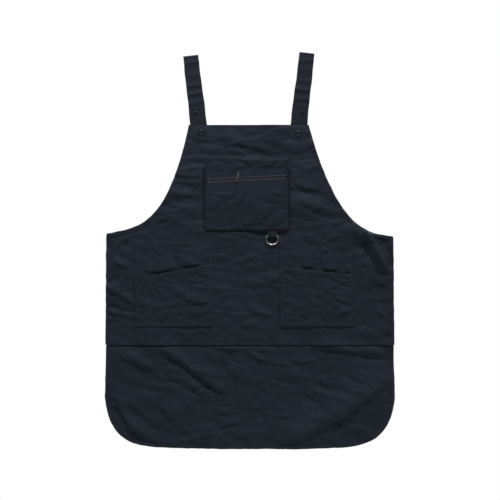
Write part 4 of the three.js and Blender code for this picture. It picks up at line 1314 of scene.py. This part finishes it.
def patch(name, node, folds, seed, sewn_at, belly, mouth_gap, body_side=None):
    """A patch pocket's cloth. Its sewn edges lie sewn_at before the apron's cloth, or 1.1 mm at body_side."""
    corners = four_corners(node)
    columns, rows = 84, 78
    u = np.linspace(0, 1, columns)[None, :]
    v = np.linspace(0, 1, rows)[:, None]
    top = corners[0][None, None, :] * (1 - u[..., None]) + corners[1][None, None, :] * u[..., None]
    base = corners[3][None, None, :] * (1 - u[..., None]) + corners[2][None, None, :] * u[..., None]
    places = top * (1 - v[..., None]) + base * v[..., None]
    x, z = places[..., 0], places[..., 1]
    width = corners[2][0] - corners[3][0]
    depth = (corners[0][1] + corners[1][1]) / 2 - corners[3][1]
    from_side = np.minimum(u, 1 - u) * width + 0 * v
    from_base = (1 - v) * depth + 0 * u
    from_mouth = v * depth + 0 * u
    from_seam = np.minimum(from_side, from_base)
    lift = np.zeros(x.shape)
    flat_x, flat_z = x.ravel(), z.ravel()
    for route, *sizes in folds:
        lift += fold(flat_x, flat_z, route, *sizes).reshape(x.shape)
    spread = (corners[3][0] / mm, corners[2][0] / mm, corners[3][1] / mm, corners[0][1] / mm)
    small = wrinkles(flat_x, flat_z, seed, 40, spread, 2, 26, (20, 60), (0.4, 1.4), (2.5, 5.5))
    small += crumpled(flat_x, flat_z, seed + 2, 48, 1.2, 1.5) + crumpled(flat_x, flat_z, seed + 3, 22, 0.45, 1.4)
    lift += small.reshape(x.shape)
    draw = np.random.default_rng(seed + 1)
    for _ in range(30):
        at = draw.uniform(corners[3][1] + 12 * mm, corners[0][1] - 30 * mm)
        end = 0 if draw.random() < 0.5 else 1
        run = draw.uniform(12, 34) * mm
        reach = np.exp(-((np.abs(u - end) * width / run) ** 2))
        lift += draw.uniform(0.3, 1.0) * mm * reach * np.exp(-(((z - at) / (draw.uniform(1.6, 3.2) * mm)) ** 2))
    lift *= eased(from_seam, 3 * mm, 14 * mm)
    lift += belly * eased(from_seam, 2 * mm, 60 * mm)
    gape = 0.7 + 0.3 * np.sin(u * 9.0 + seed) * np.sin(u * 4.1 + 1.0)
    lift += mouth_gap * gape * np.exp(-((from_mouth / (20 * mm)) ** 2)) * eased(from_side, 2 * mm, 30 * mm)
    lift += 1.1 * mm * np.exp(-((u * width / (5 * mm)) ** 2)) * eased(from_mouth + 0 * u, 0, 8 * mm)
    lift += 0.35 * mm * (1 - eased(from_seam, 10 * mm, 12.5 * mm)) + 0.4 * mm * (1 - eased(from_mouth, 14 * mm, 16 * mm))
    for row_at in (2.2 * mm, 9.5 * mm):
        lift -= 0.2 * mm * np.exp(-(((from_seam - row_at) / (1.2 * mm)) ** 2))
    lift -= 0.3 * mm * np.exp(-(((from_mouth - 13 * mm) / (1.2 * mm)) ** 2))
    stand = np.full(x.shape, sewn_at)
    if body_side is not None:
        side_distance = np.abs(u - body_side) * width
        stand = 1.1 * mm + (sewn_at - 1.1 * mm) * eased(side_distance + 0 * v, 8 * mm, 14 * mm)
    roll = (sewn_at - 0.95 * mm) * (1 - np.clip(from_seam / (2.2 * mm), 0, 1)) ** 2
    lip = 1.3 * mm * (1 - np.clip(from_mouth / (2.6 * mm), 0, 1)) ** 2 * eased(from_side, 4 * mm, 12 * mm)
    y = -stand - np.maximum(lift, -0.6 * mm) + roll + lip * (sewn_at > 1.5 * mm) - hang(flat_x, flat_z).reshape(x.shape)
    piece = grid_of(name, np.stack([x, y, z], axis=2))
    surface = surface_of(piece)
    thickened(piece, 0.7 * mm)
    finished(piece, apron_drill, "apron", "cloth", node)
    rows = []
    for inset in (2.2 * mm, 9.5 * mm):
        line = [corners[0] + (inset, -1 * mm), corners[3] + (inset, inset), corners[2] + (-inset, inset),
                corners[1] + (-inset, -1 * mm)]
        for a, b in zip(line[:-1], line[1:]):
            rows.append(row_on(surface, [a, b], 0.45 * mm))
    down = np.array([0, -13 * mm])
    rows.append(row_on(surface, [corners[0] + down + (3 * mm, 0), corners[1] + down - (3 * mm, 0)], 0.45 * mm))
    sewn(name + "_stitches", rows, navy_thread)


for side, seed in (("left", 80), ("right", 90)):
    patch(
        f"{side}_pocket_rear", f"{side}_pocket_rear_layer", pocket_folds[f"{side}_rear"], seed,
        1.1 * mm, 0.8 * mm, 1.2 * mm,
    )
    patch(
        f"{side}_pocket_front", f"{side}_pocket_front_layer", pocket_folds[f"{side}_front"], seed + 5,
        1.9 * mm, 2.6 * mm, 3.2 * mm,
        body_side=1 if side == "right" else None,
    )

# ---- Stage, light and camera ----

white = Finish("studio_white").shade((0.85, 0.85, 0.85, 1), 0.7)
nothing_selected()
bpy.ops.mesh.primitive_plane_add(size=1, location=(0, -0.77, -1.32))
floor = bpy.context.object
floor.scale = (4.4, 2.9, 1)
bpy.ops.object.transform_apply(location=True, rotation=True, scale=True)
floor.name = "floor"
floor.data.materials.append(white)

world = bpy.data.worlds.new("studio")
bpy.context.scene.world = world
world.use_nodes = True
sky = world.node_tree.nodes["Background"]
paths = world.node_tree.nodes.new("ShaderNodeLightPath")
seen = world.node_tree.nodes.new("ShaderNodeMapRange")
seen.inputs["To Min"].default_value = 0.07
seen.inputs["To Max"].default_value = 1.0
world.node_tree.links.new(paths.outputs["Is Camera Ray"], seen.inputs["Value"])
world.node_tree.links.new(seen.outputs[0], sky.inputs["Strength"])
sky.inputs["Color"].default_value = (1, 1, 1, 1)


def lamp(name, place, aim, size, power):
    light = bpy.data.lights.new(name, "AREA")
    light.shape = "DISK"
    light.size = size
    light.energy = power
    made = bpy.data.objects.new(name, light)
    bpy.context.scene.collection.objects.link(made)
    made.location = place
    made.rotation_euler = (Vector(aim) - Vector(place)).to_track_quat("-Z", "Y").to_euler()


lamp("key_light", (1.5, -2.4, 4.9), (0, 0, -0.5), 0.7, 255)
lamp("side_light", (-0.4, -0.75, 1.05), (0, 0, -0.35), 0.4, 17)
lamp("back_light", (1.2, 2.2, 0.9), (0, 0, -0.5), 1.6, 45)

seen_width = 1.3
camera = bpy.data.cameras.new("camera")
camera.lens = 100
camera.sensor_width = 36
viewpoint = bpy.data.objects.new("camera", camera)
bpy.context.scene.collection.objects.link(viewpoint)
distance = seen_width * camera.lens / camera.sensor_width
viewpoint.location = (0.0013, -distance, -0.511)
viewpoint.rotation_euler = (math.pi / 2, 0, 0)
bpy.context.scene.camera = viewpoint
bpy.context.scene.view_settings.view_transform = "Standard"
